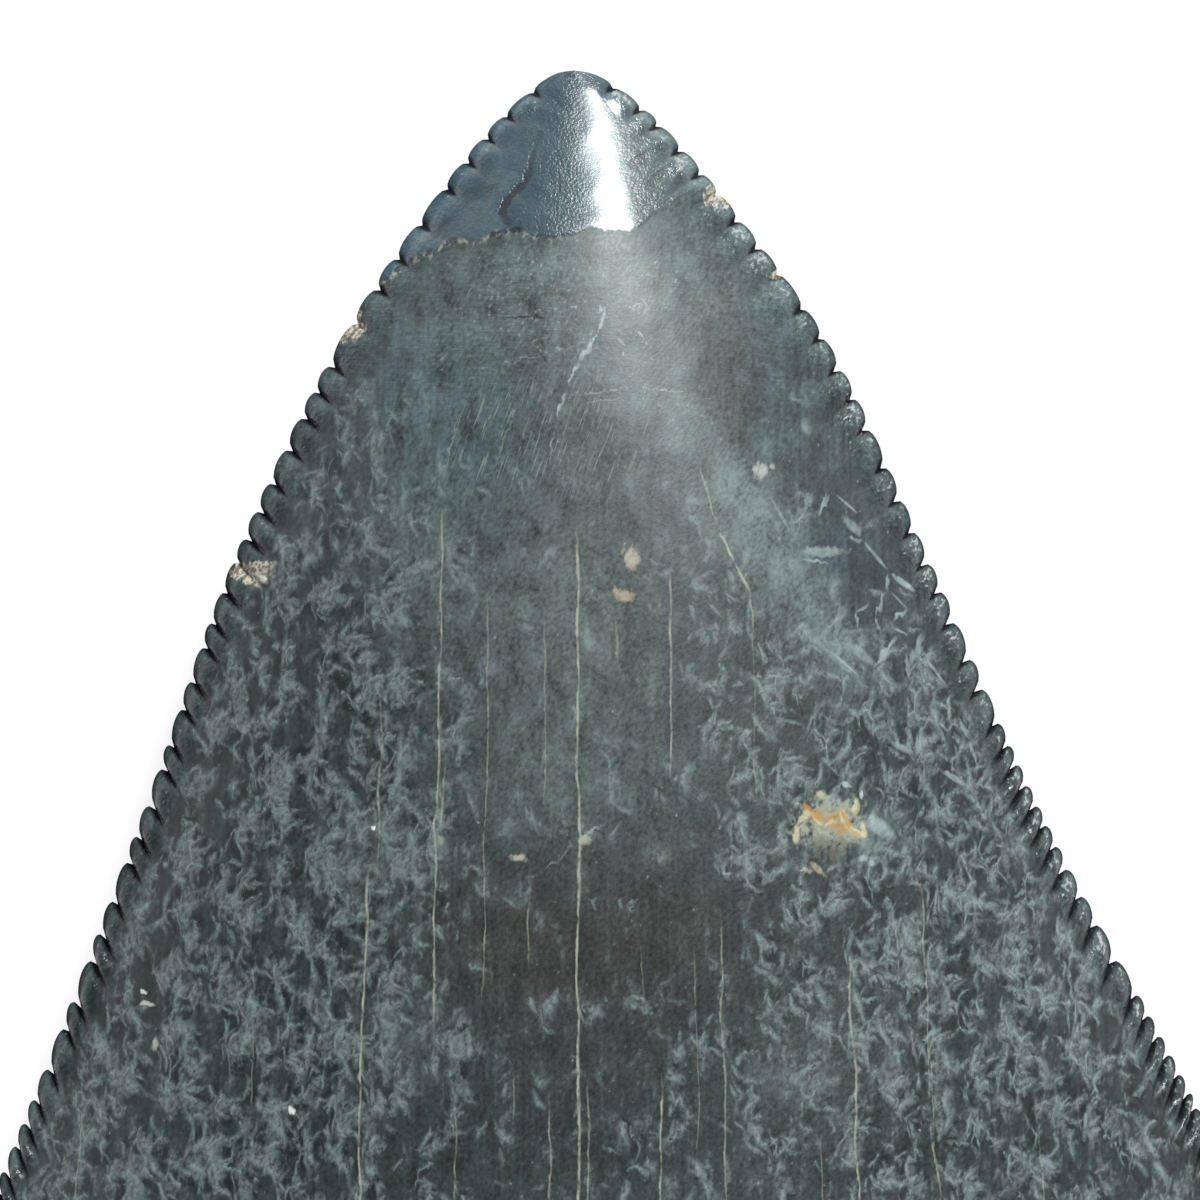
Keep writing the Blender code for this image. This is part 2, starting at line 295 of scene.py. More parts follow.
def face_heights(x, station, part, to_side, to_rim):
    """Upper and lower height of the bare tooth. Across the crown, the upper face is 1 - |u|^p, a blade that
    is flat in the middle. From the crown's end, both faces turn into quarter circles at the sides and the
    rim. part is the row's end station over the crown's length."""
    half = np.maximum(right_at(station) - left_at(station), 1e-6) / 2
    u = np.clip(np.abs(x - (right_at(station) + left_at(station)) / 2) / half, 0, 1)
    root_part = ease((part - BLADE_END) / (1 - BLADE_END))
    round_part = rounding(to_side, SIDE_ROUND) * rounding(to_rim, RIM_ROUND)
    power = np.interp(station, *np.array(UPPER_POWER).T)
    upper_part = (1 - root_part) * (1 - u**power) + root_part * round_part
    lower_part = (1 - root_part) * (1 - u**LOWER_POWER) + root_part * round_part
    edge = read_off(EDGE_HEIGHT, station)
    bulge = BULGE_HEIGHT * np.exp(
        -((x / BULGE_HALF_WIDTH) ** 2) - ((station - BULGE_STATION) / BULGE_HALF_LENGTH) ** 2
    )
    upper = edge + (read_off(UPPER_BOW, station) + bulge) * upper_part
    ground = TIP_LIFT * np.clip(1 - station / LIFT_LENGTH, 0, 1) ** 2
    lower = soft_max(edge - LOWER_FLATNESS * edge * lower_part, ground, GROUND_ROUND)
    return edge, upper, lower


def serrations(path, pitch, count, seed):
    """Notch places along one edge, evenly counted: one serration passes each time the integral of 1 / pitch
    grows by one, scaled to end at a whole number. Each notch is then shifted a little, and has its own
    depth, and each serration its own swell."""
    path = path[path[:, 0] <= CROWN_SIDE]
    along = np.r_[0, np.cumsum(np.hypot(*np.diff(path, axis=0).T))]
    per_mm = 1 / np.interp(path[:, 0], *np.array(pitch).T)
    passed = np.r_[0, np.cumsum((per_mm[1:] + per_mm[:-1]) / 2 * np.diff(along))]
    passed -= np.interp(FIRST_NOTCH, along, passed)
    random = np.random.default_rng(seed)
    index = np.arange(count + 1.0)
    index[1:] += random.uniform(-NOTCH_SHIFT, NOTCH_SHIFT, count + 1)[1:]
    index[-1] = count
    notches = np.interp(index / count * passed[-1], passed, along)
    depths = np.interp(np.interp(notches, along, path[:, 0]), *np.array(NOTCH_DEPTH).T)
    depths = depths * random.uniform(*NOTCH_SPREAD, count + 1)
    swell = random.uniform(*SWELL_SPREAD, count + 1)
    return path, along, notches, depths, swell


def edge_rows(side, pitch, count, rows_each, seed):
    """For each mesh row: its place on one edge, how deep the notch is there, how high the bead is, how near
    the groove, and the weight of gloss and painted highlight. At the fraction f of its length, a serration's
    outline is the half circle root(1 - (2f - 1)^2), its height the parabola 1 - (2f - 1)^2, its groove (2f -
    1)^4, and its gloss and painted highlight twice its height times 1 - f, so they lie on the side towards
    the tip."""
    path, along, notches, depths, swell = serrations(SIDES[side], pitch, count, seed)
    number = np.arange(count * rows_each + 1) / rows_each
    lobe = np.minimum(number.astype(int), count - 1)
    fraction = number - lobe
    arch = np.sqrt(np.clip(1 - (2 * fraction - 1) ** 2, 0, 1))
    nearest = np.where(fraction < 0.5, lobe, lobe + 1)
    tip = FIRST_NOTCH * (np.arange(TIP_ROWS) / TIP_ROWS) ** TIP_CROWDING
    tip_notch = np.clip(1 - (FIRST_NOTCH - tip) / FIRST_NOTCH_RISE, 0, 1) ** 2 * depths[0]
    place = np.r_[tip, np.interp(number, np.arange(count + 1), notches)]
    notch = np.r_[tip_notch, (1 - arch) * depths[nearest]]
    tip_bead = TIP_BEAD * ease(tip / FIRST_NOTCH) * (1 - tip_notch / depths[0])
    bead = np.r_[tip_bead, arch**2 * swell[lobe]]
    groove = np.r_[TIP_GROOVE * tip_notch / depths[0], (1 - arch**2) ** 2]
    polish = np.r_[0 * tip, 2 * arch**2 * (1 - fraction) * swell[lobe]]
    station = np.interp(place, along, path[:, 0])
    outward = np.interp(place, along, path[:, 1])
    return station, outward, notch, bead, groove, polish


def crown_grid(rise, columns):
    """One face of the crown as arrays of rows by columns. A row starts on the left edge, follows a
    serration's ridge inwards, crosses the face in a line that bows towards the tip, and ends along a ridge on
    the right. The bow is rise * part^2 * (1 - |w|^p), at the place w across."""
    blocks = SERRATION_BLOCKS
    rows = {
        "left": edge_rows("left", LEFT_PITCH, 8 * blocks, LEFT_ROWS_EACH, 5),
        "right": edge_rows("right", RIGHT_PITCH, 9 * blocks, RIGHT_ROWS_EACH, 8),
    }
    half = (rows["left"][1] + rows["right"][1]) / 2
    band = np.minimum(BAND, BAND_SHARE * half)[:, None]
    part = (rows["left"][0] + rows["right"][0])[:, None] / 2 / CROWN_SIDE
    ridge = (np.arange(BAND_COLUMNS + 1) / BAND_COLUMNS) ** BAND_CROWDING * band
    across = np.linspace(0, 1, columns + 1)[1:-1]
    lift = rise * part**2 * (1 - np.abs(2 * across - 1) ** RISE_POWER)
    grid = {}
    for side, inward in (("left", 1), ("right", -1)):
        station, outward, notch, bead, groove, polish = (value[:, None] for value in rows[side])
        fade = np.clip(1 - ridge / np.maximum(band, 1e-9), 0, 1)
        turn = np.radians(np.interp(station, *np.array(SERRATION_TURN).T))
        grid[side] = {
            "x": inward * (np.cos(turn) * ridge - outward),
            "station": station + np.sin(turn) * ridge,
            "ridge": ridge,
            "rim": ridge * BAND / np.maximum(band, 1e-9),
            "shift_x": inward * np.cos(turn) * notch * fade**2,
            "shift_station": np.sin(turn) * notch * fade**2,
            "bead": bead * fade,
            "groove": groove + 0 * fade,
            "polish": polish * GLOSS_AND_HIGHLIGHT[side] + 0 * fade,
        }
        if side == "right":
            grid[side] = {key: value[:, ::-1] for key, value in grid[side].items()}

    def joined(key, middle=0.0):
        start, end = grid["left"][key], grid["right"][key]
        if key in ("x", "station"):
            middle = start[:, -1:] + (end[:, :1] - start[:, -1:]) * across - middle
        return np.hstack([start, middle + 0 * lift, end])

    made = {key: joined(key) for key in ("x", "shift_x", "shift_station", "bead", "groove", "polish")}
    made["station"] = joined("station", lift)
    made["ridge"] = joined("ridge", BAND)
    made["rim"] = joined("rim", BAND)
    made["part"] = part + 0 * made["x"]
    half_now = (right_at(part * CROWN_SIDE) - left_at(part * CROWN_SIDE)) / 2
    middle = (right_at(part * CROWN_SIDE) + left_at(part * CROWN_SIDE)) / 2
    made["to_side"] = np.clip(half_now - np.abs(made["x"] - middle), 0, None)
    made["across"] = np.abs(made["x"] - middle) / np.maximum(half_now, 1e-6)
    return made


def crown_face(face):
    """The points of the crown's upper or lower face, and the fields that its finish reads. From the bare
    height, the edge swells by a wedge 1 - (1 - t)^1.6, serrations by beads, and grooves between them sink.
    The cap stands proud."""
    upper = face == "upper"
    g = crown_grid(UPPER_RISE if upper else LOWER_RISE, UPPER_COLUMNS if upper else LOWER_COLUMNS)
    edge, top, bottom = face_heights(g["x"], g["station"], g["part"], g["to_side"], RIM_ROUND)
    at_work = 1 - ease((g["part"] - BLADE_END) / (1 - BLADE_END))
    x = g["x"] + g["shift_x"] * at_work
    station = g["station"] + g["shift_station"] * at_work
    cap = np.interp(x, *np.array(CAP_BORDER[face]).T) - station
    cap = cap + CAP_RAGGED * cloud(x, station, edge, 0.5, 33)
    proud = LIP * (1 - (1 - np.clip(g["ridge"] / LIP_ROUND, 0, 1)) ** 1.6)
    proud = proud * np.minimum(1, g["station"] / LIP_BEGINS)

    def run_out(lengths):
        by_side = (read_off(lengths[side], g["station"]) for side in ("left", "right"))
        return np.exp(-((g["ridge"] / np.where(x < 0, *by_side)) ** 2))

    bead = np.interp(g["station"], *np.array(BEAD).T) * g["bead"]
    proud += bead * ease(g["ridge"] / BEAD_RISE) * run_out(BEAD_LENGTH)
    groove = g["groove"] * run_out(GROOVE_LENGTH) * at_work
    proud -= GROOVE * groove * ease(g["ridge"] / GROOVE_RISE)
    inside = ease(g["rim"] / BAND)
    uneven = UNEVEN * cloud(x, station, edge, 2.6, 31) + 0.4 * UNEVEN * cloud(x, station, edge, 1.1, 32)
    uneven += 0.16 * UNEVEN * cloud(x, station, edge, 0.55, 34)
    proud = proud * at_work + inside * (uneven + CAP_STEP * ease(cap / CAP_STEP_LENGTH + 0.5))
    z = top + proud if upper else np.maximum(bottom - proud, 0)
    z = np.where(g["ridge"] <= 0, edge, z)
    points = np.stack([TIP_X + x, TIP_Y - station, z], -1)
    polish = g["polish"] * ease(g["ridge"] / GLOSS_AND_HIGHLIGHT_RISE) * np.exp(-((g["ridge"] / GLOSS_AND_HIGHLIGHT_LENGTH) ** 2))
    polish = polish * at_work * upper
    fields = {"groove": groove, "rim": g["rim"], "cap": cap, "polish": polish}
    fields.update(stains(x, station, g["across"], upper))
    return points, fields, np.minimum(g["part"][:, 0], 1)


def spot(x, station, place):
    """A round-edged patch: e^-(dx^2 + dy^2), from (x, station, half width, half length, strength)."""
    at_x, at_station, half_width, half_length, strength = place
    return strength * np.exp(-(((x - at_x) / half_width) ** 2) - ((station - at_station) / half_length) ** 2)


def stains(x, station, across, upper):
    """Slow fields of the enamel's colour, each from 0 to 1: how thick the pale strands lie, where the ground
    is warm or cool, where a painted sheen or a pale haze lies on it, how light it is, and where silt sits.
    From 27 mm on they turn into clouds alone."""
    side = 0.0 if upper else 50.0
    far = ease((station - 27) / 8)
    drift = cloud(x + side, station, 0 * x, 4.0, 41)
    wide = cloud(x + side, station, 0 * x, 11.0, 42)
    flank = ease((across - 0.16) / 0.3)
    strands = ease((station - 8.5) / 8) * (0.42 + 0.5 * flank) + 0.16 * drift
    warm = 0.3 + 0.45 * cloud(x, station + side, 0 * x, 6.0, 43)
    cool = 0.25 + 0.4 * cloud(x, station + side, 0 * x, 7.0, 44)
    haze = 0.15 + 0.3 * cloud(x, station + side, 0 * x, 3.2, 45)
    tone = 0.5 + 0.14 * drift + 0.12 * wide + 0.16 * ease((15 - station) / 7) * (1 - 0.5 * far)
    if upper:
        near = {name: 0 * x for name in PATCHES}
        for name, places in PATCHES.items():
            for place in places:
                near[name] = near[name] + spot(x, station, place)
        strands = strands + near["strands"] * (1 - far)
        warm = far * warm + near["warm"]
        cool = far * cool + near["cool"]
        haze = far * haze + near["haze"]
        tone = tone + near["tone"]
    strands = (1 - far) * strands + far * (0.62 + 0.4 * drift + 0.25 * wide)
    silt = 0 * x
    for place in SILT["upper" if upper else "lower"]:
        silt = silt + spot(x, station, place)
    made = {"strands": strands, "warm": warm, "cool": cool, "haze": haze, "tone": tone, "silt": silt}
    return {name: np.clip(value, 0, 1) for name, value in made.items()}


def root_face(face):
    """The points of the root's upper or lower face. A row runs from side to side at a fixed share of the way
    from the enamel's line to the rim. The first rows lie hidden inside the crown, ever deeper."""
    upper = face == "upper"
    rise = UPPER_RISE if upper else LOWER_RISE
    u = np.sin(np.linspace(-1, 1, ROOT_COLUMNS) * ROOT_CROWDING) / np.sin(ROOT_CROWDING)
    hidden = np.linspace(-1, 0, HIDDEN_ROWS, endpoint=False)
    part = np.r_[hidden, 1 - (1 - np.linspace(0, 1, OPEN_ROWS)) ** RIM_CROWDING][:, None]
    past = np.clip(part, 0, 1)
    corner = CROWN_SIDE + (ROOT_CORNER - CROWN_SIDE) * past + OVERLAP * np.clip(part, -1, 0)
    bow = 1 - np.abs(u) ** RISE_POWER
    line = CROWN_SIDE - rise * bow
    rim = read_off(ROOT_RIM, u)
    station = line + (rim - line) * past + OVERLAP * np.clip(part, -1, 0)
    below = station - line - LINE_DROP  # length below the enamel's end, less than 0 under the crown
    deep = ease(-(below + HIDDEN_START) / HIDDEN_LENGTH)
    inset = SIDE_INSET * (1 - ease(below / 2.0)) + HIDDEN_INSET * deep
    left, right = left_at(corner) + inset, right_at(corner) - inset
    x = left + (right - left) * (u + 1) / 2
    crown_part = np.minimum(1, 1 + below / (CROWN_SIDE - 2 * rise * bow))
    to_side = np.clip((1 - np.abs(u)) * (right - left) / 2, 0, None)
    edge, top, bottom = face_heights(x, station, crown_part, to_side, (1 - past) * (rim - line))
    sunk = ENAMEL * (1 - 0.8 * ease(below / 4.0)) + HIDDEN_SINK * deep
    if upper:
        z = edge + np.maximum(top - edge - sunk, 0)
        collar = COLLAR * (1 - u**2) + COLLAR_SIDE - below
    else:
        z = edge - np.maximum(edge - bottom - sunk, 0)
        collar = 0.35 * COLLAR * (1 - u**2) + COLLAR_SIDE - below
    z = np.where(np.abs(u) >= 1, edge, z)
    z[-1] = edge[-1]
    points = np.stack([TIP_X + x, TIP_Y - station, z], -1)
    open_part = ease(below / 1.5 + 0.2)
    return points, {"collar": collar, "open": open_part, "top": float(upper) + 0 * x}, part


def outward(points):
    """Unit normals of rings of points: the step down the rows crossed with the step round the ring."""
    down = np.gradient(points, axis=0)
    step = np.roll(points, -1, axis=1) - np.roll(points, 1, axis=1)
    normal = np.cross(down, step)
    around = points.shape[1]
    normal[-1] += normal[-1, -np.arange(around) % around]
    return normal / np.maximum(np.linalg.norm(normal, axis=-1, keepdims=True), 1e-12)


def root_relief(points, fields):
    """Height of the root's weathered surface along its normals, in mm: clouds of three sizes, long
    striations, round pores where a fine cloud passes a level, and deep mouths of the blood vessels."""
    x, y, z = points[..., 0], points[..., 1], points[..., 2]
    relief = 0.32 * cloud(x, y, z, 6.5, 51) + 0.16 * cloud(x, y, z, 2.6, 52) + 0.07 * cloud(x, y, z, 1.1, 53)
    relief = relief + 0.07 * cloud(x / 0.6, y / 5.0, z / 2.0, 1.0, 54)
    relief = relief - 0.28 * ease((cloud(x, y, z, 1.5, 55) - 0.42) / 0.2)
    smooth_part = 1 - 0.75 * ease(fields["collar"] / 0.8 + 0.5)
    relief = relief * smooth_part + 0.1 * ease(fields["collar"] / 0.5 + 0.5)
    for at_x, station, radius, depth in VESSELS:
        away = np.hypot(x - TIP_X - at_x, y - TIP_Y + station) / radius
        relief = relief - depth * np.exp(-(away**4)) * (fields["top"] > 0.5)
    return relief * fields["open"]


def ring(upper, lower):
    """Two grids that share their first and last columns, as rings: the upper row, then the lower one
    backwards."""
    return np.concatenate([upper, lower[:, -2:0:-1]], axis=1)


def closed_piece(name, points, uppers, across, down, fields, first, last):
    """A closed mesh from rings of points, in mm. uppers is how many columns of a ring are its upper row.
    Either end is a point, a strip of faces from the upper row to the lower one, or a seam where the lower
    row is the upper one. The UV map lays the two faces side by side."""
    rows, around = points.shape[:2]
    index = np.arange(rows * around).reshape(rows, around)
    if first == "point":
        index[0] = 0
    if last == "seam":
        index[-1, uppers:] = index[-1, uppers - 2 : 0 : -1]
    after = np.roll(index, -1, axis=1)
    quads = np.stack([index[:-1], index[1:], after[1:], after[:-1]], -1)
    used, order = np.unique(quads, return_inverse=True)
    order = order.reshape(quads.shape)
    start, end = across
    level = np.broadcast_to(down[:, None], start.shape)
    corner = ((start, level, 0), (start, level, 1), (end, level, 1), (end, level, 0))
    stop = len(level) - 1
    chart = np.stack([np.stack([u, v], -1)[row : stop + row] for u, v, row in corner], 2)
    faces, uvs = order.reshape(-1, 4), chart.reshape(-1, 4, 2)
    face_list, uv_list = faces.tolist(), []
    if first == "point":
        fan = chart[0].copy()
        fan[:, 0, 0] = (fan[:, 0, 0] + fan[:, 3, 0]) / 2
        face_list = order[0, :, :3].tolist() + faces[around:].tolist()
        uv_list.append(fan[:, :3].reshape(-1, 2))
        uvs = uvs[around:]
    uv_list.append(uvs.reshape(-1, 2))
    over = np.arange(uppers)
    under = -np.rint(over * (around - uppers + 1) / (uppers - 1)).astype(int) % around
    strip = np.stack([over[:-1], over[1:], under[1:], under[:-1]], -1)
    for kind, ring_order, ring_points, place, turned in (
        (first, order[0, :, 0], points[0], 0.02, strip),
        (last, order[-1, :, 1], points[-1], 0.52, strip[:, ::-1]),
    ):
        low = (ring_points - ring_points.min(0)) / np.maximum(ring_points.max(0) - ring_points.min(0), 1e-9)
        flat = np.stack([place + 0.4 * low[:, 0], 0.004 + 0.02 * low[:, 2]], -1)
        for corners in turned.tolist() if kind == "strip" else ():
            corners = list(dict.fromkeys(corners))
            face_list.append(ring_order[corners].tolist())
            uv_list.append(flat[corners])
    mesh = bpy.data.meshes.new(name)
    mesh.from_pydata((points.reshape(-1, 3)[used] * MM).tolist(), [], face_list)
    mesh.uv_layers.new(name="OFBake").data.foreach_set("uv", np.concatenate(uv_list).ravel())
    for key, values in fields.items():
        attribute = mesh.attributes.new(key, "FLOAT", "POINT")
        attribute.data.foreach_set("value", values.reshape(-1)[used].astype(np.float32))
    mesh.shade_smooth()
    mesh.update()
    piece = bpy.data.objects.new(name, mesh)
    bpy.context.scene.collection.objects.link(piece)
    return piece


def chart_across(points, low, high):
    """Places across the UV map from low to high, spaced as the points are along each row, but never closer
    than a tenth of an even spacing."""
    step = np.linalg.norm(np.diff(points, axis=1), axis=-1)
    step = step + 0.1 * step.mean(1, keepdims=True) + 1e-6
    along = np.concatenate([np.zeros((len(step), 1)), np.cumsum(step, axis=1)], axis=1)
    return low + (high - low) * along / along[:, -1:]


def build(name, make_face, split, power, first, last, relief=None):
    """Makes a piece from its two faces. split is the share of the UV map's width that the upper face gets."""
    upper, upper_fields, down = make_face("upper")
    lower, lower_fields, _ = make_face("lower")
    points = ring(upper, lower)
    fields = {key: ring(upper_fields[key], lower_fields[key]) for key in upper_fields}
    if relief:
        points = points + outward(points) * relief(points, fields)[..., None]
        points[..., 2] = np.maximum(points[..., 2], 0)
    over = chart_across(upper, 0.005, split - 0.005)
    under = chart_across(lower, split + 0.005, 0.995)[:, ::-1]
    start = np.concatenate([over[:, :-1], under[:, :-1]], axis=1)
    end = np.concatenate([over[:, 1:], under[:, 1:]], axis=1)
    share = (down - down.min()) / (down.max() - down.min())
    levels = 0.99 - 0.95 * share.reshape(-1) ** power
    return closed_piece(name, points, upper.shape[1], (start, end), levels, fields, first, last)


# ---------------------------------------------------------------- finishes

class Wire:
    """A node's output, for Python expressions: each operator adds one Math node."""

    def __init__(self, finish, socket):
        self.finish, self.socket = finish, socket

    def math(self, operation, *others):
        values = dict(enumerate((self, *others)))
        return self.finish.add("Math", {"operation": operation}, values)

    def __add__(self, other):
        return self.math("ADD", other)

    __radd__ = __add__

    def __sub__(self, other):
        return self.math("SUBTRACT", other)

    def __rsub__(self, other):
        return self.finish.add("Math", {"operation": "SUBTRACT"}, {0: other, 1: self})

    def __mul__(self, other):
        return self.math("MULTIPLY", other)

    __rmul__ = __mul__

    def __truediv__(self, other):
        return self.math("DIVIDE", other)

    def __abs__(self):
        return self.math("ABSOLUTE")

    def other(self, output):
        """Another output of the same node."""
        return Wire(self.finish, self.socket.node.outputs[output])

    def above(self, other):
        """The larger of two values."""
        return self.math("MAXIMUM", other)

    def fade(self, low, high):
        """A smooth step from 0 at low to 1 at high, and the other way round where low is the larger."""
        settings = {"interpolation_type": "SMOOTHSTEP"}
        return self.finish.add("MapRange", settings, {0: self, 1: low, 2: high, 3: 0.0, 4: 1.0})


class Finish:
    """A material under construction. Colours are linear, and lengths are millimetres."""

    def __init__(self, name):
        self.material = bpy.data.materials.new(name)
        self.material.use_nodes = True
        self.tree = self.material.node_tree
        self.tree.nodes.clear()
        where = self.add("TexCoord", output="Object")
        scaled = self.add("VectorMath", {"operation": "SCALE"}, {0: where, "Scale": 1 / MM})
        self.place = self.add("VectorMath", {"operation": "SUBTRACT"}, {0: scaled, 1: (TIP_X, TIP_Y, 0.0)})
        self.dimensions = "3D"

    def add(self, kind, settings=None, sockets=None, output=0):
        """Any node: its settings are set first, then its sockets' values or links."""
        node = self.tree.nodes.new("ShaderNode" + kind)
        for key, value in (settings or {}).items():
            setattr(node, key, value)
        for key, value in (sockets or {}).items():
            if isinstance(value, Wire):
                self.tree.links.new(value.socket, node.inputs[key])
            else:
                node.inputs[key].default_value = value
        return Wire(self, node.outputs[output]) if node.outputs else node

    def field(self, name):
        """A field of the mesh."""
        return self.add("Attribute", {"attribute_name": name}, output="Fac")

    def fitted(self, place, size, turn=0.0, shift=0.0):
        """The place, turned about Z, divided by a feature size along each axis, and shifted. A turned pattern
        is flat, on a place whose third part is 1, so that a dot product holds its shift."""
        size = (*size, 1.0)[:3] if isinstance(size, tuple) else (size,) * 3
        if not turn:
            part = {0: place, 1: tuple(1 / length for length in size), 2: (shift, 1.7 * shift, 0.6 * shift)}
            return self.add("VectorMath", {"operation": "MULTIPLY_ADD"}, part)
        cosine, sine = float(np.cos(turn)), float(np.sin(turn))
        along = self.dot(place, (cosine / size[0], sine / size[0], shift))
        across = self.dot(place, (-sine / size[1], cosine / size[1], 1.7 * shift))
        return self.add("CombineXYZ", sockets={"X": along, "Y": across})

    def dot(self, place, direction):
        """A dot product with a fixed direction."""
        return self.add("VectorMath", {"operation": "DOT_PRODUCT"}, {0: place, 1: direction}, "Value")

    def noise(self, size, turn=0.0, shift=0.0, detail=2.0, rough=0.5, place=None):
        """Smooth noise, mostly from 0.25 to 0.75, with features of the given size."""
        vector = self.fitted(place or self.place, size, turn, shift)
        sockets = {"Vector": vector, "Scale": 1.0, "Detail": detail, "Roughness": rough}
        return self.add("TexNoise", {"noise_dimensions": self.dimensions}, sockets, "Fac")

    def cells(self, size, place, turn=0.0, shift=0.0):
        """Distance to the nearest wall between random cells, in parts of the cells' size."""
        settings = {"feature": "DISTANCE_TO_EDGE", "voronoi_dimensions": self.dimensions}
        sockets = {"Vector": self.fitted(place, size, turn, shift), "Scale": 1.0}
        return self.add("TexVoronoi", settings, sockets, "Distance")

    def ribbons(self, place, cell, size, spread, shift, torn):
        """One short ribbon in each random cell: an ellipse of the given half width and half length about the
        cell's own point, leaning by up to half the spread from the station's direction, with its rim shifted
        by torn. Returned with a random number for it."""
        flat = self.fitted(place, cell, shift=shift)
        settings = {"feature": "F1", "voronoi_dimensions": "2D"}
        middle = self.add("TexVoronoi", settings, {"Vector": flat, "Scale": 1.0}, "Position")
        lean = self.add("SeparateColor", sockets={0: middle.other("Color")}, output=0)
        turned = {"Vector": flat, "Center": middle, "Angle": (lean - 0.5) * spread}
        turned = self.add("VectorRotate", {"rotation_type": "Z_AXIS"}, turned)
        offset = self.add("VectorMath", {"operation": "SUBTRACT"}, {0: turned, 1: middle})
        scale = (cell / size[0], cell / size[1], 0.0)
        offset = self.add("VectorMath", {"operation": "MULTIPLY"}, {0: offset, 1: scale})
        away = self.add("VectorMath", {"operation": "LENGTH"}, {0: offset}, "Value")
        return (away + torn).fade(1.2, 0.15), lean.other(1)

    def away(self, flat, middle, size, turn=0.0):
        """The square of the distance from the middle of a turned ellipse, which is 1 on its rim."""
        cosine, sine = float(np.cos(turn)), float(np.sin(turn))
        parts = []
        for (run_x, run_station), half in zip(((cosine, sine), (-sine, cosine)), size):
            offset = run_x * middle[0] + run_station * middle[1]
            parts.append(self.dot(flat, (run_x / half, run_station / half, -offset / half)))
        return parts[0].math("MULTIPLY_ADD", parts[0], parts[1] * parts[1])

    def strokes(self, flat, places):
        """Tapered strokes, each as (x, station, x, station, half width, strength), added up."""
        total = 0.0
        for start_x, start_station, end_x, end_station, half_width, strength in places:
            run_x, run_station = end_x - start_x, end_station - start_station
            size = (float(np.hypot(run_x, run_station)) / 2 + half_width, half_width * 1.6)
            middle = ((start_x + end_x) / 2, (start_station + end_station) / 2)
            turn = float(np.arctan2(run_station, run_x))
            total = self.away(flat, middle, size, turn).fade(1.0, 0.1).math("MULTIPLY_ADD", strength, total)
        return total

    def blend(self, part, start, end):
        """A colour between two colours."""
        colours = {0: part, 6: opaque(start), 7: opaque(end)}
        return self.add("Mix", {"data_type": "RGBA", "clamp_factor": True}, colours, 2)

    def tint(self, colour, amount):
        """A colour times a number."""
        return self.add("VectorMath", {"operation": "SCALE"}, {0: colour, "Scale": amount})

    def close(self, sockets, height, strength=1.0, dull=None):
        """Feeds the shader, with a bump from a height in mm. Where dull is 1, the surface has no gloss."""
        bump = self.add("Bump", sockets={"Strength": strength, "Distance": MM, "Height": height})
        shader = self.add("BsdfPrincipled", sockets={**sockets, "Normal": bump})
        if dull:
            matte = {"Base Color": sockets["Base Color"], "Roughness": 1.0, "Specular IOR Level": 0.0}
            matte = self.add("BsdfPrincipled", sockets={**matte, "Normal": bump})
            shader = self.add("MixShader", sockets={0: dull, 1: shader, 2: matte})
        self.add("OutputMaterial", sockets={"Surface": shader})
        return self.material


# The finishes' colours, linear.
GROUND, WARM_GROUND, COOL_GROUND = (0.040, 0.053, 0.053), (0.050, 0.048, 0.045), (0.036, 0.058, 0.071)
# SHEEN_AND_HAZE is a painted sheen, a pale reflection, and in places a pale haze.
CLOUDS, STRANDS, SHEEN_AND_HAZE = (0.130, 0.154, 0.155), (0.29, 0.35, 0.345), (0.20, 0.25, 0.24)
# SCRATCH_AND_SPARKLE also colours the painted sparkles of highlight.
CRACK, SCRATCH_AND_SPARKLE, HATCHING = (0.38, 0.39, 0.31), (0.36, 0.42, 0.41), (0.24, 0.28, 0.27)
CAP_DARK, CAP_PALE, CAP_GREEN = (0.040, 0.070, 0.092), (0.068, 0.104, 0.124), (0.098, 0.125, 0.122)
# GLINT is a painted glint of highlight on the serrations.
CRUMBS, GLINT = (0.34, 0.33, 0.28), (0.44, 0.47, 0.44)
SILT_DARK, SILT_PALE = (0.20, 0.16, 0.12), (0.62, 0.58, 0.49)
ROOT_GREY, ROOT_BROWN, EARTH = (0.060, 0.062, 0.058), (0.085, 0.078, 0.064), (0.20, 0.175, 0.135)
PORE, COLLAR_DARK, COLLAR_PALE = (0.012, 0.012, 0.011), (0.012, 0.014, 0.015), (0.030, 0.032, 0.032)


def opaque(colour):
    """A colour's socket value with its alpha, or a link as it is."""
    return colour if isinstance(colour, Wire) else (*colour, 1.0)


# Cracks that run down the crown, as (x, first station, last station, strength), from left to right. They
# fan out a little towards the root.
CRACKS = (
    (-12.4, 27.0, 36.0, 0.4), (-9.6, 29.0, 38.0, 0.4), (-7.9, 24.5, 27.5, 0.3), (-5.12, 20.8, 38.0, 0.9),
    (-4.87, 16.4, 21.2, 0.42), (-3.38, 11.7, 24.8, 0.75), (-3.24, 18.0, 20.2, 0.55),
    (-2.78, 26.4, 33.0, 0.5), (-2.16, 13.9, 24.2, 0.42), (-1.37, 25.8, 27.1, 0.55),
    (-1.01, 21.2, 23.2, 0.5), (-0.65, 14.4, 19.2, 0.4), (-0.5, 26.4, 31.0, 0.5), (0.2, 12.2, 40.0, 1.0),
    (0.42, 26.0, 33.0, 0.6), (1.2, 14.5, 15.8, 0.5), (1.75, 22.6, 24.4, 0.35), (2.18, 25.9, 35.0, 0.75),
    (2.56, 13.2, 18.8, 0.7), (3.1, 22.8, 28.0, 0.4), (3.74, 22.0, 36.0, 0.55), (4.7, 13.9, 19.4, 0.3),
    (6.1, 27.2, 31.0, 0.4), (6.95, 23.0, 36.0, 0.85), (8.9, 21.0, 38.0, 0.5), (11.6, 27.5, 37.0, 0.4),
)
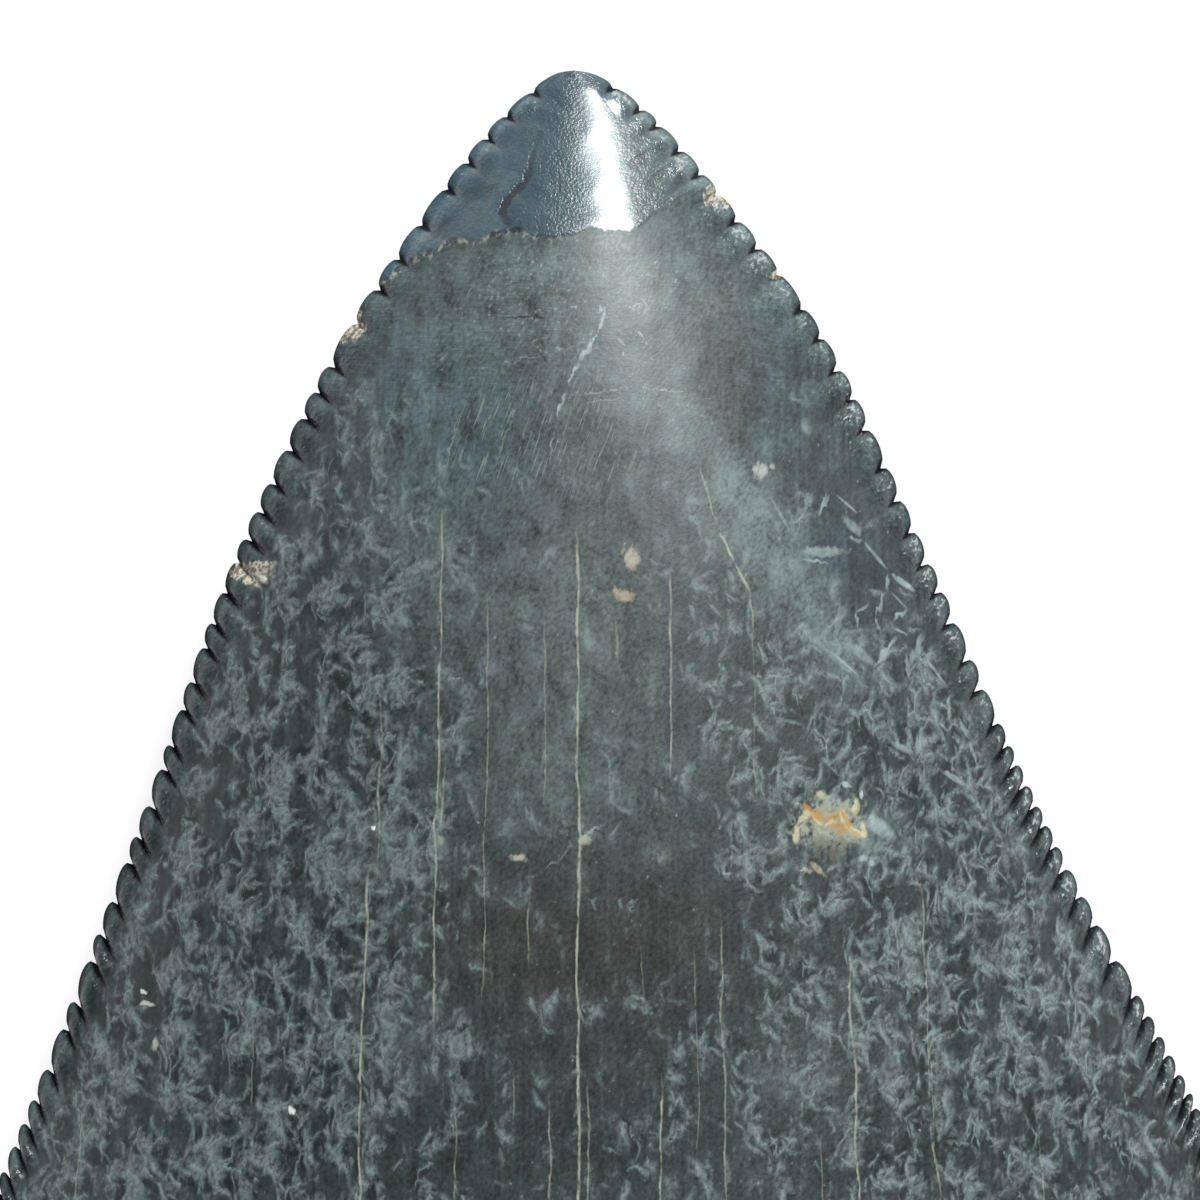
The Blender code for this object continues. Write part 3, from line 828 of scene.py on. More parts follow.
CRACK_SPAN = 28.0  # the ramp that holds them runs from minus half of this to plus half
CRACK_LENGTH = 50.0  # and stations are parts of this
CRACK_FAN = 0.0035
STRAY = 0.45  # how far a stroke or spot may lie from its typed place, with the size of a face of the mesh
FACES_APART = 60.0  # between the two faces, in the noises
BEND = (0.8, 0.25, 0.0)  # how far strands and folds wander, across and along
STRANDS_FROM, CRACKS_FROM = 8.0, 11.0  # stations where these begin
WORN_AT, WORN_REACH = 6.8, 3.4  # the brushed band's middle, and how far it goes to either side
HATCHED_AT = 9.8  # the hatched band's middle
CAP_END = 6.0  # a station past the cap's border
CAP_ROUGHNESS = 0.27
SERRATION_SHADE = 0.15  # how much darker the serrations are painted than the face, as painted shade
# Fine scratches, as (x, station, x, station, half width, strength). Strengths below 0 darken.
SCRATCHES = (
    (-2.1, 6.75, -0.3, 6.75, 0.025, -0.8), (-1.9, 8.0, -0.6, 7.7, 0.018, 0.35),
    (-0.6, 7.7, 0.7, 7.3, 0.018, 0.35), (0.9, 6.5, 0.7, 7.2, 0.045, 0.9),
    (0.7, 7.2, 0.2, 7.9, 0.045, 1.0), (0.2, 7.9, -0.1, 8.5, 0.04, 1.0), (-0.1, 8.5, -0.4, 9.5, 0.03, 0.7),
    (-0.4, 9.5, -0.6, 10.7, 0.02, 0.4), (-0.1, 8.8, 1.7, 8.6, 0.018, 0.5),
    (1.7, 8.6, 3.1, 8.7, 0.018, 0.55), (0.1, 9.0, 1.7, 8.9, 0.015, 0.35),
    (-2.8, 6.2, -2.6, 5.9, 0.03, 0.4), (-2.0, 6.3, -1.9, 6.0, 0.025, 0.35),
    (-3.4, 7.9, -3.2, 7.6, 0.025, 0.45), (1.8, 6.2, 2.0, 6.5, 0.025, 0.5),
    (0.6, 6.6, 0.9, 6.5, 0.035, 0.9), (1.5, 6.5, 1.8, 6.4, 0.03, 0.6), (1.7, 7.1, 1.9, 7.3, 0.035, 0.6),
    (1.2, 7.3, 1.4, 7.5, 0.03, 0.5), (-2.9, 9.2, -3.3, 11.0, 0.02, 0.3),
    (-1.2, 8.6, -2.3, 11.4, 0.018, 0.22), (0.1, 20.1, 0.9, 19.6, 0.035, 0.6),
    (0.1, 20.1, -0.7, 20.9, 0.03, 0.35),
)
# Furrows of the cap, in the same terms, and the raised fold beside the longest: the furrows' colour is
# darkened as painted shade, the fold's lightened as painted highlight.
FURROWS = (
    (-0.8, 1.7, -1.0, 2.2, 0.07, 0.4), (-1.0, 2.2, -1.1, 2.7, 0.08, 0.6),
    (-1.1, 2.7, -1.2, 3.1, 0.1, 0.8), (-1.2, 3.1, -1.6, 3.5, 0.11, 1.0),
    (-1.6, 3.5, -1.8, 3.8, 0.11, 1.0), (-1.8, 3.8, -1.8, 4.0, 0.11, 1.0),
    (-1.8, 4.0, -1.6, 4.3, 0.09, 0.8), (-1.6, 4.45, -1.3, 4.4, 0.07, 1.0),
    (-2.7, 3.6, -1.9, 3.1, 0.08, 0.4), (1.5, 2.7, 2.1, 2.2, 0.1, 0.5), (2.1, 2.2, 2.6, 2.0, 0.1, 0.6),
    (2.0, 3.2, 2.6, 2.6, 0.1, 0.5), (2.6, 2.6, 2.9, 2.2, 0.1, 0.6), (2.6, 3.4, 2.9, 2.8, 0.1, 0.5),
    (-2.6, 3.4, -2.2, 3.0, 0.08, 0.35), (-3.9, 4.7, -3.1, 3.9, 0.1, 0.5),
)
FOLDS = ((-1.4, 2.8, -1.8, 3.3, 0.12, 0.6), (-1.8, 3.3, -2.1, 3.7, 0.12, 0.8))
# Coloured marks, each a colour and its strokes in the same terms.
MARKS = (
    # veins and leaves on the right shoulder
    ((0.30, 0.36, 0.345), (
        (5.1, 11.3, 5.7, 12.4, 0.035, 0.5), (6.2, 11.2, 5.8, 12.4, 0.035, 0.5),
        (6.7, 11.3, 6.4, 11.9, 0.04, 0.8), (6.9, 11.3, 7.5, 11.8, 0.03, 0.7),
        (7.1, 11.9, 7.5, 12.3, 0.1, 0.6), (5.9, 12.8, 7.1, 12.8, 0.11, 0.8),
        (5.9, 13.0, 6.7, 13.1, 0.03, 0.8), (7.2, 12.4, 7.6, 12.5, 0.04, 0.6),
        (7.6, 12.5, 8.3, 13.3, 0.04, 0.7), (8.4, 13.4, 9.0, 13.8, 0.065, 1.0),
        (8.3, 13.4, 8.2, 13.8, 0.04, 0.7), (8.2, 13.8, 7.9, 14.5, 0.035, 0.7),
        (7.9, 14.5, 8.0, 14.9, 0.03, 0.6), (8.3, 13.8, 8.8, 14.3, 0.025, 0.5),
        (8.8, 14.3, 8.4, 14.6, 0.04, 0.8), (8.4, 14.8, 8.8, 15.0, 0.03, 0.7),
        (7.7, 14.1, 7.4, 14.4, 0.05, 0.8), (7.4, 14.4, 7.4, 14.8, 0.035, 0.7),
        (8.5, 15.0, 7.8, 15.8, 0.055, 0.95), (7.2, 15.2, 7.8, 15.7, 0.1, 0.6),
        (7.1, 14.1, 6.7, 15.1, 0.06, 0.4), (9.2, 14.9, 8.8, 15.8, 0.09, 0.6),
        (8.7, 15.4, 8.8, 16.2, 0.04, 0.6), (9.2, 15.5, 9.9, 16.4, 0.035, 0.6),
        (5.8, 14.6, 6.5, 15.3, 0.09, 0.4), (6.5, 15.3, 7.5, 16.1, 0.09, 0.4),
        (6.7, 15.4, 7.4, 16.0, 0.025, 0.7), (9.9, 16.6, 9.8, 17.2, 0.035, 0.7),
        (10.1, 17.1, 10.4, 17.7, 0.045, 0.6), (10.4, 17.7, 10.6, 18.4, 0.04, 0.6),
        (8.2, 17.7, 8.8, 18.0, 0.06, 0.6), (9.5, 18.4, 10.3, 18.9, 0.055, 0.8),
        (9.1, 17.4, 9.0, 18.0, 0.05, 0.6),
    )),
    # a slanting crack
    ((0.40, 0.42, 0.33), (
        (3.2, 10.3, 3.8, 12.3, 0.025, 0.5), (3.8, 12.3, 4.2, 13.1, 0.03, 0.95),
        (4.2, 13.1, 4.6, 13.9, 0.03, 0.9), (4.6, 13.9, 4.7, 15.0, 0.025, 0.45),
    )),
    # ochre crust
    ((0.62, 0.56, 0.36), (
        (5.7, 20.2, 5.7, 19.7, 0.075, 0.8), (5.7, 19.7, 6.1, 19.4, 0.065, 0.7),
        (6.1, 19.4, 6.4, 19.8, 0.065, 0.7), (6.4, 19.8, 6.7, 19.6, 0.065, 0.6),
        (6.9, 19.4, 7.0, 19.8, 0.075, 0.7), (7.0, 19.8, 7.5, 20.1, 0.075, 0.9),
        (7.3, 19.1, 7.2, 19.5, 0.05, 0.8), (7.4, 19.7, 7.5, 20.1, 0.065, 0.8),
        (6.1, 20.7, 6.4, 21.0, 0.065, 0.5), (5.8, 20.9, 6.1, 20.9, 0.04, 0.5),
        (6.3, 18.9, 6.4, 19.1, 0.06, 0.5),
    )),
    # rust
    ((0.50, 0.22, 0.03), (
        (5.9, 19.2, 6.1, 19.4, 0.05, 1.0), (6.1, 19.4, 6.4, 19.7, 0.05, 0.9),
        (6.4, 19.7, 6.9, 19.4, 0.06, 1.0), (6.9, 19.4, 7.1, 19.9, 0.05, 0.8),
        (7.1, 19.9, 7.4, 20.1, 0.05, 0.6),
    )),
    # flakes
    ((0.46, 0.54, 0.54), (
        (7.6, 19.6, 8.2, 20.1, 0.15, 0.5), (6.9, 18.7, 7.1, 18.8, 0.06, 0.8),
        (7.4, 18.9, 7.4, 19.1, 0.045, 1.0), (7.3, 20.6, 7.5, 20.6, 0.075, 0.7),
        (7.6, 20.7, 7.7, 20.8, 0.075, 0.6), (6.6, 19.1, 6.8, 19.1, 0.11, 0.35),
    )),
)
# Coloured spots, as (x, station, half width, half length, colour, strength).
SPOTS = (
    (1.55, 13.0, 0.22, 0.32, (0.52, 0.43, 0.34), 0.85), (1.4, 13.95, 0.28, 0.2, (0.48, 0.39, 0.3), 0.8),
    (4.9, 10.7, 0.2, 0.28, (0.5, 0.52, 0.48), 0.75), (5.2, 10.6, 0.08, 0.08, (0.5, 0.52, 0.48), 0.6),
    (-1.3, 20.55, 0.22, 0.1, (0.52, 0.47, 0.38), 0.85), (0.3, 20.05, 0.2, 0.14, (0.45, 0.45, 0.36), 0.8),
    (6.6, 19.7, 0.95, 0.7, (0.40, 0.40, 0.29), 0.75), (6.2, 19.5, 0.3, 0.2, (0.42, 0.2, 0.03), 0.7),
    (6.9, 19.8, 0.35, 0.22, (0.46, 0.24, 0.05), 0.7), (6.6, 20.4, 0.5, 0.35, (0.12, 0.12, 0.10), 0.7),
    (3.9, 20.9, 0.14, 0.07, (0.4, 0.42, 0.4), 0.6), (-3.25, 20.1, 0.1, 0.13, (0.42, 0.42, 0.34), 0.5),
    (-11.0, 24.5, 0.28, 0.07, (0.6, 0.6, 0.52), 0.8), (-10.7, 25.5, 0.09, 0.2, (0.5, 0.52, 0.45), 0.7),
    (-7.0, 26.9, 0.1, 0.12, (0.8, 0.82, 0.78), 1.0), (-5.0, 19.8, 0.08, 0.08, (0.85, 0.87, 0.84), 1.0),
    (-11.1, 24.2, 0.1, 0.08, (0.8, 0.8, 0.74), 0.8), (-8.1, 13.5, 0.14, 0.1, (0.85, 0.87, 0.82), 1.0),
)


# The crown's stretches, as (material, on the upper face, first station, last station, left, right). A
# later one covers those before it.
STRETCHES = (
    ("enamel_tip", True, -1, 6.5, -99, 99), ("enamel_shoulder", True, 6.5, 12, -99, 99),
    ("enamel_blade", True, 12, 18.4, -99, 99), ("enamel_waist", True, 18.4, 22, -99, 99),
    ("enamel_flank", True, 22, 99, -99, 99), ("enamel_veined", True, 10.6, 14.3, 4.9, 99),
    ("enamel_spurred", True, 14.3, 18.4, 4.9, 99), ("enamel_rusty", True, 18.4, 22, 4.9, 11),
    ("enamel_tip_under", False, -1, 6.5, -99, 99), ("enamel_under", False, 6.5, 99, -99, 99),
)


def cracks_at(f, x):
    """How deep in a crack a point is, from 0 to 1. A stepped ramp across x holds for each crack its place,
    its first and last station and its strength, so the distance to the nearest one is |x - place|."""
    node = f.tree.nodes.new("ShaderNodeValToRGB")
    ramp = node.color_ramp
    ramp.interpolation = "CONSTANT"
    places = np.array([crack[0] for crack in CRACKS])
    starts = np.r_[-CRACK_SPAN / 2, (places[1:] + places[:-1]) / 2] / CRACK_SPAN + 0.5
    for number, (place, first, last, strength) in enumerate(CRACKS):
        stop = ramp.elements[0] if number == 0 else ramp.elements.new(starts[number])
        stop.position = starts[number]
        stop.color = (place / CRACK_SPAN + 0.5, first / CRACK_LENGTH, last / CRACK_LENGTH, strength)
    ramp.elements.remove(ramp.elements[-1])
    f.tree.links.new((x / CRACK_SPAN + 0.5).socket, node.inputs[0])
    colour, strength = Wire(f, node.outputs["Color"]), Wire(f, node.outputs["Alpha"])
    place, first, last = (f.add("SeparateColor", sockets={0: colour}, output=channel) for channel in range(3))
    away = abs(x + CRACK_SPAN / 2 - CRACK_SPAN * place)
    begun = (f.station - CRACK_LENGTH * first).fade(-0.2, 0.8)
    ahead = (CRACK_LENGTH * last - f.station).fade(-0.2, 0.8)
    inside = begun * ahead
    return away.fade(0.018 + 0.032 * strength, 0.006) * inside * strength


def stroke_room(start_x, start_station, end_x, end_station, half_width, *_):
    """The room that a stroke may touch, as (first station, last station, left, right)."""
    low_x, high_x = sorted((start_x, end_x))
    low_station, high_station = sorted((start_station, end_station))
    reach = 1.6 * half_width + STRAY
    return low_station - reach, high_station + reach, low_x - reach, high_x + reach


def spot_room(at_x, at_station, half_width, half_length, *_):
    """The room that a spot may touch, in the same terms."""
    wide, long = 1.6 * half_width + STRAY, 1.6 * half_length + STRAY
    return at_station - long, at_station + long, at_x - wide, at_x + wide


def within(marks, room_of, bounds, covers):
    """The marks that may show on a stretch of the crown: they touch it, and don't lie wholly under one that
    covers it."""

    def touches(mark, room):
        return mark[0] < room[1] and mark[1] > room[0] and mark[2] < room[3] and mark[3] > room[2]

    def lies_in(mark, room):
        return mark[0] > room[0] and mark[1] < room[1] and mark[2] > room[2] and mark[3] < room[3]

    shown = []
    for mark in marks:
        own = room_of(*mark)
        if touches(own, bounds) and not any(lies_in(own, room) for room in covers):
            shown.append(mark)
    return shown


class Enamel(Finish):
    """The crown's material on one of its faces, with the fields and noises that its layers share. A layer
    takes the colour so far, and gives it back with its own on top."""

    def __init__(self, name, upper):
        super().__init__(name)
        self.upper = upper
        self.x = self.add("SeparateXYZ", sockets={0: self.place}, output="X")
        self.station = 0.0 - self.x.other("Y")
        self.rim, self.haze = self.field("rim"), self.field("haze")
        self.dimensions = "2D"
        sockets = {"X": self.x - FACES_APART * upper, "Y": self.station, "Z": 1.0}
        self.place = self.add("CombineXYZ", sockets=sockets)
        self.middle = self.noise((0.6, 0.9), shift=8.0, detail=3.0, rough=0.62)
        self.fine = self.noise((0.10, 0.14), 0.6, 5.0, detail=1.5, rough=0.6)
        self.ragged = self.noise((0.2, 0.4), shift=6.0, detail=2.0, rough=0.6)
        self.patches = self.noise((0.8, 1.1), shift=21.0, detail=1.0)
        bend = self.add("CombineXYZ", sockets={"X": self.patches + 0.4 * self.middle, "Y": self.ragged})
        self.bent = self.add("VectorMath", {"operation": "MULTIPLY_ADD"}, {0: bend, 1: BEND, 2: self.place})


def ground_layer(f):
    """Mottling of three sizes, with warm and cool patches."""
    tone = f.field("tone") * (0.2 + 1.6 * f.middle) * (0.4 + 1.2 * f.fine) * (0.6 + 0.8 * f.patches)
    ground = f.blend(f.field("warm"), GROUND, WARM_GROUND)
    ground = f.blend(f.field("cool") * (0.5 + f.middle), ground, COOL_GROUND)
    return f.tint(ground, tone * 2.0)


def strand_layer(f, colour):
    """Short pale ribbons and thin veins over soft paler clouds, with dark pockets between the veins. Also
    gives back how strong they are."""
    streaks = f.noise((0.15, 2.2), shift=15.0, detail=1.0, rough=0.6)
    wall = f.cells((0.5, 0.8), f.bent, 0.15, 3.0)
    lit = 0.85 * f.field("strands") + 2.0 * (f.patches - 0.5) - 0.1
    shown = (f.station + 0.4 * abs(f.x)).fade(8.7, 11.7) * f.rim.fade(0.5, 1.3)
    crumbs = f.fine.fade(0.36, 0.62)
    torn = 1.5 * (f.fine - 0.5) + 1.6 * (f.ragged - 0.5)
    veins = (wall + 0.1 * (f.fine - 0.5)).fade(0.09, 0.0) * (lit + f.ragged - 1.0).fade(0.0, 0.4)
    pocket = wall.fade(0.06, 0.2) * lit.fade(0.3, 0.7)
    long, chance = f.ribbons(f.bent, 0.8, (0.12, 0.6), 2.4, 4.0, torn)
    long = long * (lit + 0.2 - chance).fade(0.0, 0.5)
    short, chance = f.ribbons(f.bent, 0.46, (0.085, 0.34), 2.8, 11.0, torn)
    short = short * (lit + 0.25 - chance).fade(0.0, 0.5)
    cloudy = (1.8 * f.middle + 0.9 * f.ragged + 0.5 * lit - 1.62).fade(0.0, 0.4)
    strands = long.above(short * 0.85).above(veins * 0.8) * (0.5 * crumbs + 1.5 * f.ragged - 0.37)
    strands = strands * shown * (0.85 + 0.15 * f.x.fade(-3.0, 5.0))
    colour = f.tint(colour, (0.92 - 0.5 * pocket * shown) * (0.55 + 0.9 * streaks))
    colour = f.blend(cloudy * shown * (0.1 + 0.5 * streaks + 0.6 * crumbs), colour, CLOUDS)
    return f.blend(strands * 0.92, colour, STRANDS), strands


def crack_layer(f, colour, sway):
    """Broken pale cracks. The lower face has a mirrored, narrower set."""
    x = f.x * (1.0 if f.upper else -1.35) / (1 + CRACK_FAN * (f.station - 20.0))
    depth = cracks_at(f, x + 0.24 * sway + 0.08 * f.ragged - 0.16)
    return f.blend(depth * (2.6 * f.ragged + 0.5 * f.fine - 0.75), colour, CRACK)


def brushed_and_sparkle_layer(f, colour):
    """Brushing across the shoulder, and painted sparkles of highlight where the painted sheen lies."""
    brushed = f.noise((0.9, 0.045), 0.07, 9.0, 2.0, 0.65)
    worn = abs(f.station - WORN_AT).fade(WORN_REACH, 1.6)
    colour = f.tint(colour, 1 + 0.9 * worn * (brushed - 0.5))
    # Painted sparkles: bright specks of highlight laid into the colour.
    painted_sparkles = (f.fine + 0.35 * (f.ragged - 0.5)).fade(0.66, 0.8) * f.haze.fade(0.25, 0.6)
    return f.blend(painted_sparkles * f.station.fade(11.0, 9.0) * 0.7, colour, SCRATCH_AND_SPARKLE)


def hatched_layer(f, colour):
    """Fine slanting hatching about the middle of the shoulder."""
    hatching = f.noise((0.055, 1.1), 0.34, 31.0, 2.0, 0.6)
    shown = abs(f.station - HATCHED_AT).fade(2.2, 0.9) * abs(f.x + 0.6).fade(4.0, 1.5)
    shown = shown * f.ragged.fade(0.35, 0.6)
    return f.blend(hatching.fade(0.54, 0.7) * shown * 0.8, colour, HATCHING)


def mark_layers(f, colour, sway, bounds, covers):
    """The upper face's scratches, spots and coloured marks, over its wear and its painted sparkles of
    highlight.
    """
    first, last, *_ = bounds
    swing = 0.1 * sway + 0.22 * f.ragged - 0.16
    swayed = f.add("CombineXYZ", sockets={"X": f.x + swing, "Y": f.station + swing, "Z": 1.0})
    scratches = within(SCRATCHES, stroke_room, bounds, covers)
    if scratches:
        marks = f.strokes(swayed, scratches) * (2.6 * f.ragged - 0.4)
        colour = f.tint(colour, 1 + 0.8 * marks.math("MINIMUM", 0.0))
        colour = f.blend(marks.above(0.0), colour, SCRATCH_AND_SPARKLE)
    if first < WORN_AT + WORN_REACH:
        colour = brushed_and_sparkle_layer(f, colour)
    if first < HATCHED_AT < last:
        colour = hatched_layer(f, colour)
    spots = within(SPOTS, spot_room, bounds, covers)
    frayed = 2.0 - 2.6 * f.ragged - 1.4 * f.fine if spots else 0.0
    for *place, half_width, half_length, hue, strength in spots:
        away = f.away(swayed, place, (half_width, half_length)) + frayed * min(1, 2 * half_width)
        colour = f.blend(away.fade(1.3, 0.0) * strength, colour, hue)
    for hue, places in MARKS:
        strokes = within(places, stroke_room, bounds, covers)
        if strokes:
            broken = 0.3 + 1.2 * f.ragged + 0.4 * (f.fine - 0.5)
            colour = f.blend(f.strokes(swayed, strokes) * broken, colour, hue)
    return colour


def cap_layer(f, colour, height):
    """The cap: bluer, with long soft folds, a wrinkled right side, and on the upper face a furrow painted
    darker as shade beside a fold painted lighter as highlight. Also gives back the height with its own on
    top, and how much it is cap."""
    depth = f.field("cap") + 0.3 * (f.middle - 0.5) + 0.08 * (f.ragged - 0.5)
    cap = depth.fade(-0.05, 0.07)
    folds = f.noise((0.45, 1.5), -0.75, 23.0, 2.0, 0.5, place=f.bent)
    own = f.blend(folds.fade(0.3, 0.7), CAP_DARK, CAP_PALE)
    own = f.blend(f.x.fade(0.7, 1.8) * (0.3 + f.ragged), own, CAP_GREEN)
    colour = f.blend(cap, colour, f.tint(own, 0.7 + 0.6 * f.fine))
    seam = abs(depth + 0.05).fade(0.16, 0.0)
    crumbling = (f.ragged + 0.5 * (f.fine - 0.5)).fade(0.47, 0.62) * f.x.fade(1.2, -1.5)
    colour = f.blend(seam * crumbling * 0.8, colour, CRUMBS)
    grain = f.noise(0.075, shift=19.0, detail=2.0)
    ripples = f.noise((0.3, 0.22), shift=29.0, detail=2.0)
    wrinkled = 0.008 + 0.022 * f.x.fade(0.9, 1.8)
    height = height + cap * (0.017 * grain + wrinkled * (ripples - 0.5) + 0.02 * (folds - 0.5))
    if f.upper:
        flat = f.add("CombineXYZ", sockets={"X": f.x, "Y": f.station, "Z": 1.0})
        furrow = f.strokes(flat, FURROWS).math("MINIMUM", 1.0)
        fold = f.strokes(flat, FOLDS)
        # Painted shade in the furrows and a painted highlight along the fold.
        colour = f.tint(colour, 1 - 0.6 * furrow + 0.3 * fold)
        height = height + 0.02 * fold - 0.022 * furrow
    return colour, height, cap


def edge_layer(f, colour, serration_shade):
    """Grooves painted black as shade, here and there with pale silt, painted glints and a painted highlight
    on the serrations' side towards the tip, serrations and their outer edge painted darker as shade, and
    painted light lifting a band just inside the edge. Also gives back how much silt there is, and how dull
    the edge is."""
    polish = f.field("polish")
    depth = f.field("groove").fade(0.05, 0.5)
    # Painted shade: the grooves between serrations, the serrations, and the outermost tenth of a millimetre
    # of the edge are darkened.
    tone = (1 - 0.8 * depth) * (1 - serration_shade * f.rim.fade(1.4, 0.5)) * (0.8 + 0.2 * f.rim.fade(0.0, 0.1))
    # Painted light lifts a band just inside the edge, and a painted highlight lies on the serrations' side
    # towards the tip.
    colour = f.tint(colour, tone * (1 + 0.3 * f.rim.fade(0.8, 0.2) + 0.8 * polish * (0.3 + 1.4 * f.fine)))
    # Painted glints on the serrations' side towards the tip.
    glints = (0.7 * polish + 2.2 * (f.fine - 0.5) + 1.2 * (f.ragged - 0.5)).fade(0.62, 1.15)
    colour = f.blend(glints * 0.75, colour, GLINT)
    silt = f.field("silt") + 0.9 * (f.ragged - 0.5) + 0.25 * depth
    silt = silt.fade(0.45, 0.65) * f.rim.fade(1.5, 0.9)
    colour = f.blend(silt * 0.85, colour, f.blend(f.fine.fade(0.35, 0.65), SILT_DARK, SILT_PALE))
    dull = (f.rim.fade(1.2, 0.7) * 0.35).above(f.rim.fade(0.5, 0.15)) - 0.5 * polish
    return colour, silt, dull.above(depth * 0.9)


def fossil_enamel(name, upper, bounds, covers):
    """Dark blue-grey enamel of one stretch of the crown's upper or lower face. What doesn't reach into the
    stretch is left out."""
    first, last, *_ = bounds
    f = Enamel(name, upper)
    colour, strands = ground_layer(f), 0.0
    if last > STRANDS_FROM:
        colour, strands = strand_layer(f, colour)
    # Painted sheen: a pale reflection blended in where the sheen field is high, with a pale haze elsewhere.
    colour = f.blend(f.haze * (1.5 * f.middle + 1.1 * f.fine - 0.62), colour, SHEEN_AND_HAZE)
    if upper or last > CRACKS_FROM:
        sway = f.noise((0.8, 2.0), shift=2.0, detail=1.0, rough=0.6)
    if last > CRACKS_FROM:
        colour = crack_layer(f, colour, sway)
    if upper:
        colour = mark_layers(f, colour, sway, bounds, covers)
    rough = 0.43 + 0.25 * (f.fine - 0.5) + 0.12 * strands
    height = (0.004 + 0.028 * f.rim.fade(1.1, 0.5)) * f.fine
    serration_shade, shine = SERRATION_SHADE, {}
    if first < CAP_END:
        colour, height, cap = cap_layer(f, colour, height)
        rough = rough + (CAP_ROUGHNESS - rough) * cap
        # Less painted shade on the cap's serrations.
        serration_shade = SERRATION_SHADE - 0.1 * cap
        shine = {"Coat Weight": cap * f.rim.fade(0.1, 0.5) * 0.8, "Coat Roughness": 0.19, "Coat IOR": 1.62}
    colour, silt, dull = edge_layer(f, colour, serration_shade)
    rough = rough - 0.2 * f.rim.fade(1.2, 0.5) + 0.35 * f.rim.fade(0.25, 0.0) + 0.3 * silt
    return f.close({"Base Color": colour, "Roughness": rough, **shine}, height, dull=dull)


def fossil_root():
    """Dark brown-grey porous root. Its pits and striations hold paler earth, and the band under the enamel is
    black."""
    f = Finish("fossil_root")
    collar_depth = f.field("collar")
    broad = f.noise(7.0, shift=3.0)
    middle = f.noise(1.4, shift=8.0, detail=4.0, rough=0.65)
    fine = f.noise(0.22, shift=5.0, detail=3.0, rough=0.6)
    fibres = f.noise((0.3, 3.2, 1.6), shift=13.0, detail=3.0, rough=0.6)
    pores = f.noise((0.42, 0.5, 0.45), shift=25.0, detail=1.0).fade(0.36, 0.27)
    tone = 0.45 + 0.5 * middle + 0.4 * fibres + 0.3 * fine
    colour = f.blend(broad.fade(0.3, 0.7), ROOT_GREY, ROOT_BROWN)
    earth = (middle + 0.5 * fibres - 0.78).fade(0.0, 0.22)
    colour = f.blend(earth * 0.6, f.tint(colour, tone), EARTH)
    colour = f.blend(pores * 0.8, colour, PORE)
    collar = (collar_depth + 1.6 * (middle - 0.5)).fade(-0.15, 0.25)
    dark = f.tint(f.blend(fibres.fade(0.35, 0.65), COLLAR_DARK, COLLAR_PALE), 0.6 + 0.8 * fine)
    colour = f.blend(collar, colour, dark)
    rough = 0.68 + 0.2 * (fine - 0.5) + 0.12 * pores - 0.1 * collar
    height = 0.16 * middle + 0.07 * fibres + 0.03 * fine - 0.1 * pores * (1 - collar)
    return f.close({"Base Color": colour, "Roughness": rough}, height, 0.9)


# ---------------------------------------------------------------- the pieces

def wear_stretches(piece):
    """Each face wears the last stretch that its middle and its facing fit."""
    middles, normals = np.empty((2, len(piece.data.polygons) * 3), np.float32)
    piece.data.polygons.foreach_get("center", middles)
    piece.data.polygons.foreach_get("normal", normals)
    x, station = middles[::3] / MM - TIP_X, TIP_Y - middles[1::3] / MM
    worn = np.zeros(len(station), np.int32)
    for number, (_, upper, first, last, left, right) in enumerate(STRETCHES):
        inside = (station >= first) & (station < last) & (x >= left) & (x < right)
        worn[((normals[2::3] > 0) == upper) & inside] = number
    piece.data.polygons.foreach_set("material_index", worn)


crown = build("tooth_crown", crown_face, 0.66, 0.6, "point", "strip")
root = build("tooth_root", root_face, 0.5, 1.0, "strip", "seam", root_relief)
for number, (name, upper, *bounds) in enumerate(STRETCHES):
    covers = [later[2:] for later in STRETCHES[number + 1 :] if later[1] == upper]
    crown.data.materials.append(fossil_enamel(name, upper, bounds, covers))
wear_stretches(crown)
root.data.materials.append(fossil_root())
for piece in (crown, root):
    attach(piece, "root")
    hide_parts("tooth")

# ---------------------------------------------------------------- floor, light and camera

FLOOR_RADIUS = 3.0
FLOOR_GLOW = 0.45
CAMERA_HEIGHT = 91.5
CAMERA_PLACE = (0.742, 14.05)  # x and station that the camera hangs over
KEY_FROM = (0.255, 0.68, 0.69)
KEY_POWER = 3.4
KEY_WIDTH = 0.28  # its apparent size, in radians
# The sky's colours, from the horizon up, and how bright it is from behind the root to beyond the tip.
SKY = (
    (0.0, (0.96, 0.97, 0.98, 1)), (0.12, (0.85, 0.88, 0.9, 1)), (0.4, (0.42, 0.46, 0.49, 1)),
    (0.75, (0.17, 0.2, 0.22, 1)), (1.0, (0.13, 0.15, 0.17, 1)),
)
SIDES_OF_SKY = ((0.0, (0.35, 0.35, 0.35, 1)), (0.5, (0.55, 0.55, 0.55, 1)), (1.0, (1, 1, 1, 1)))


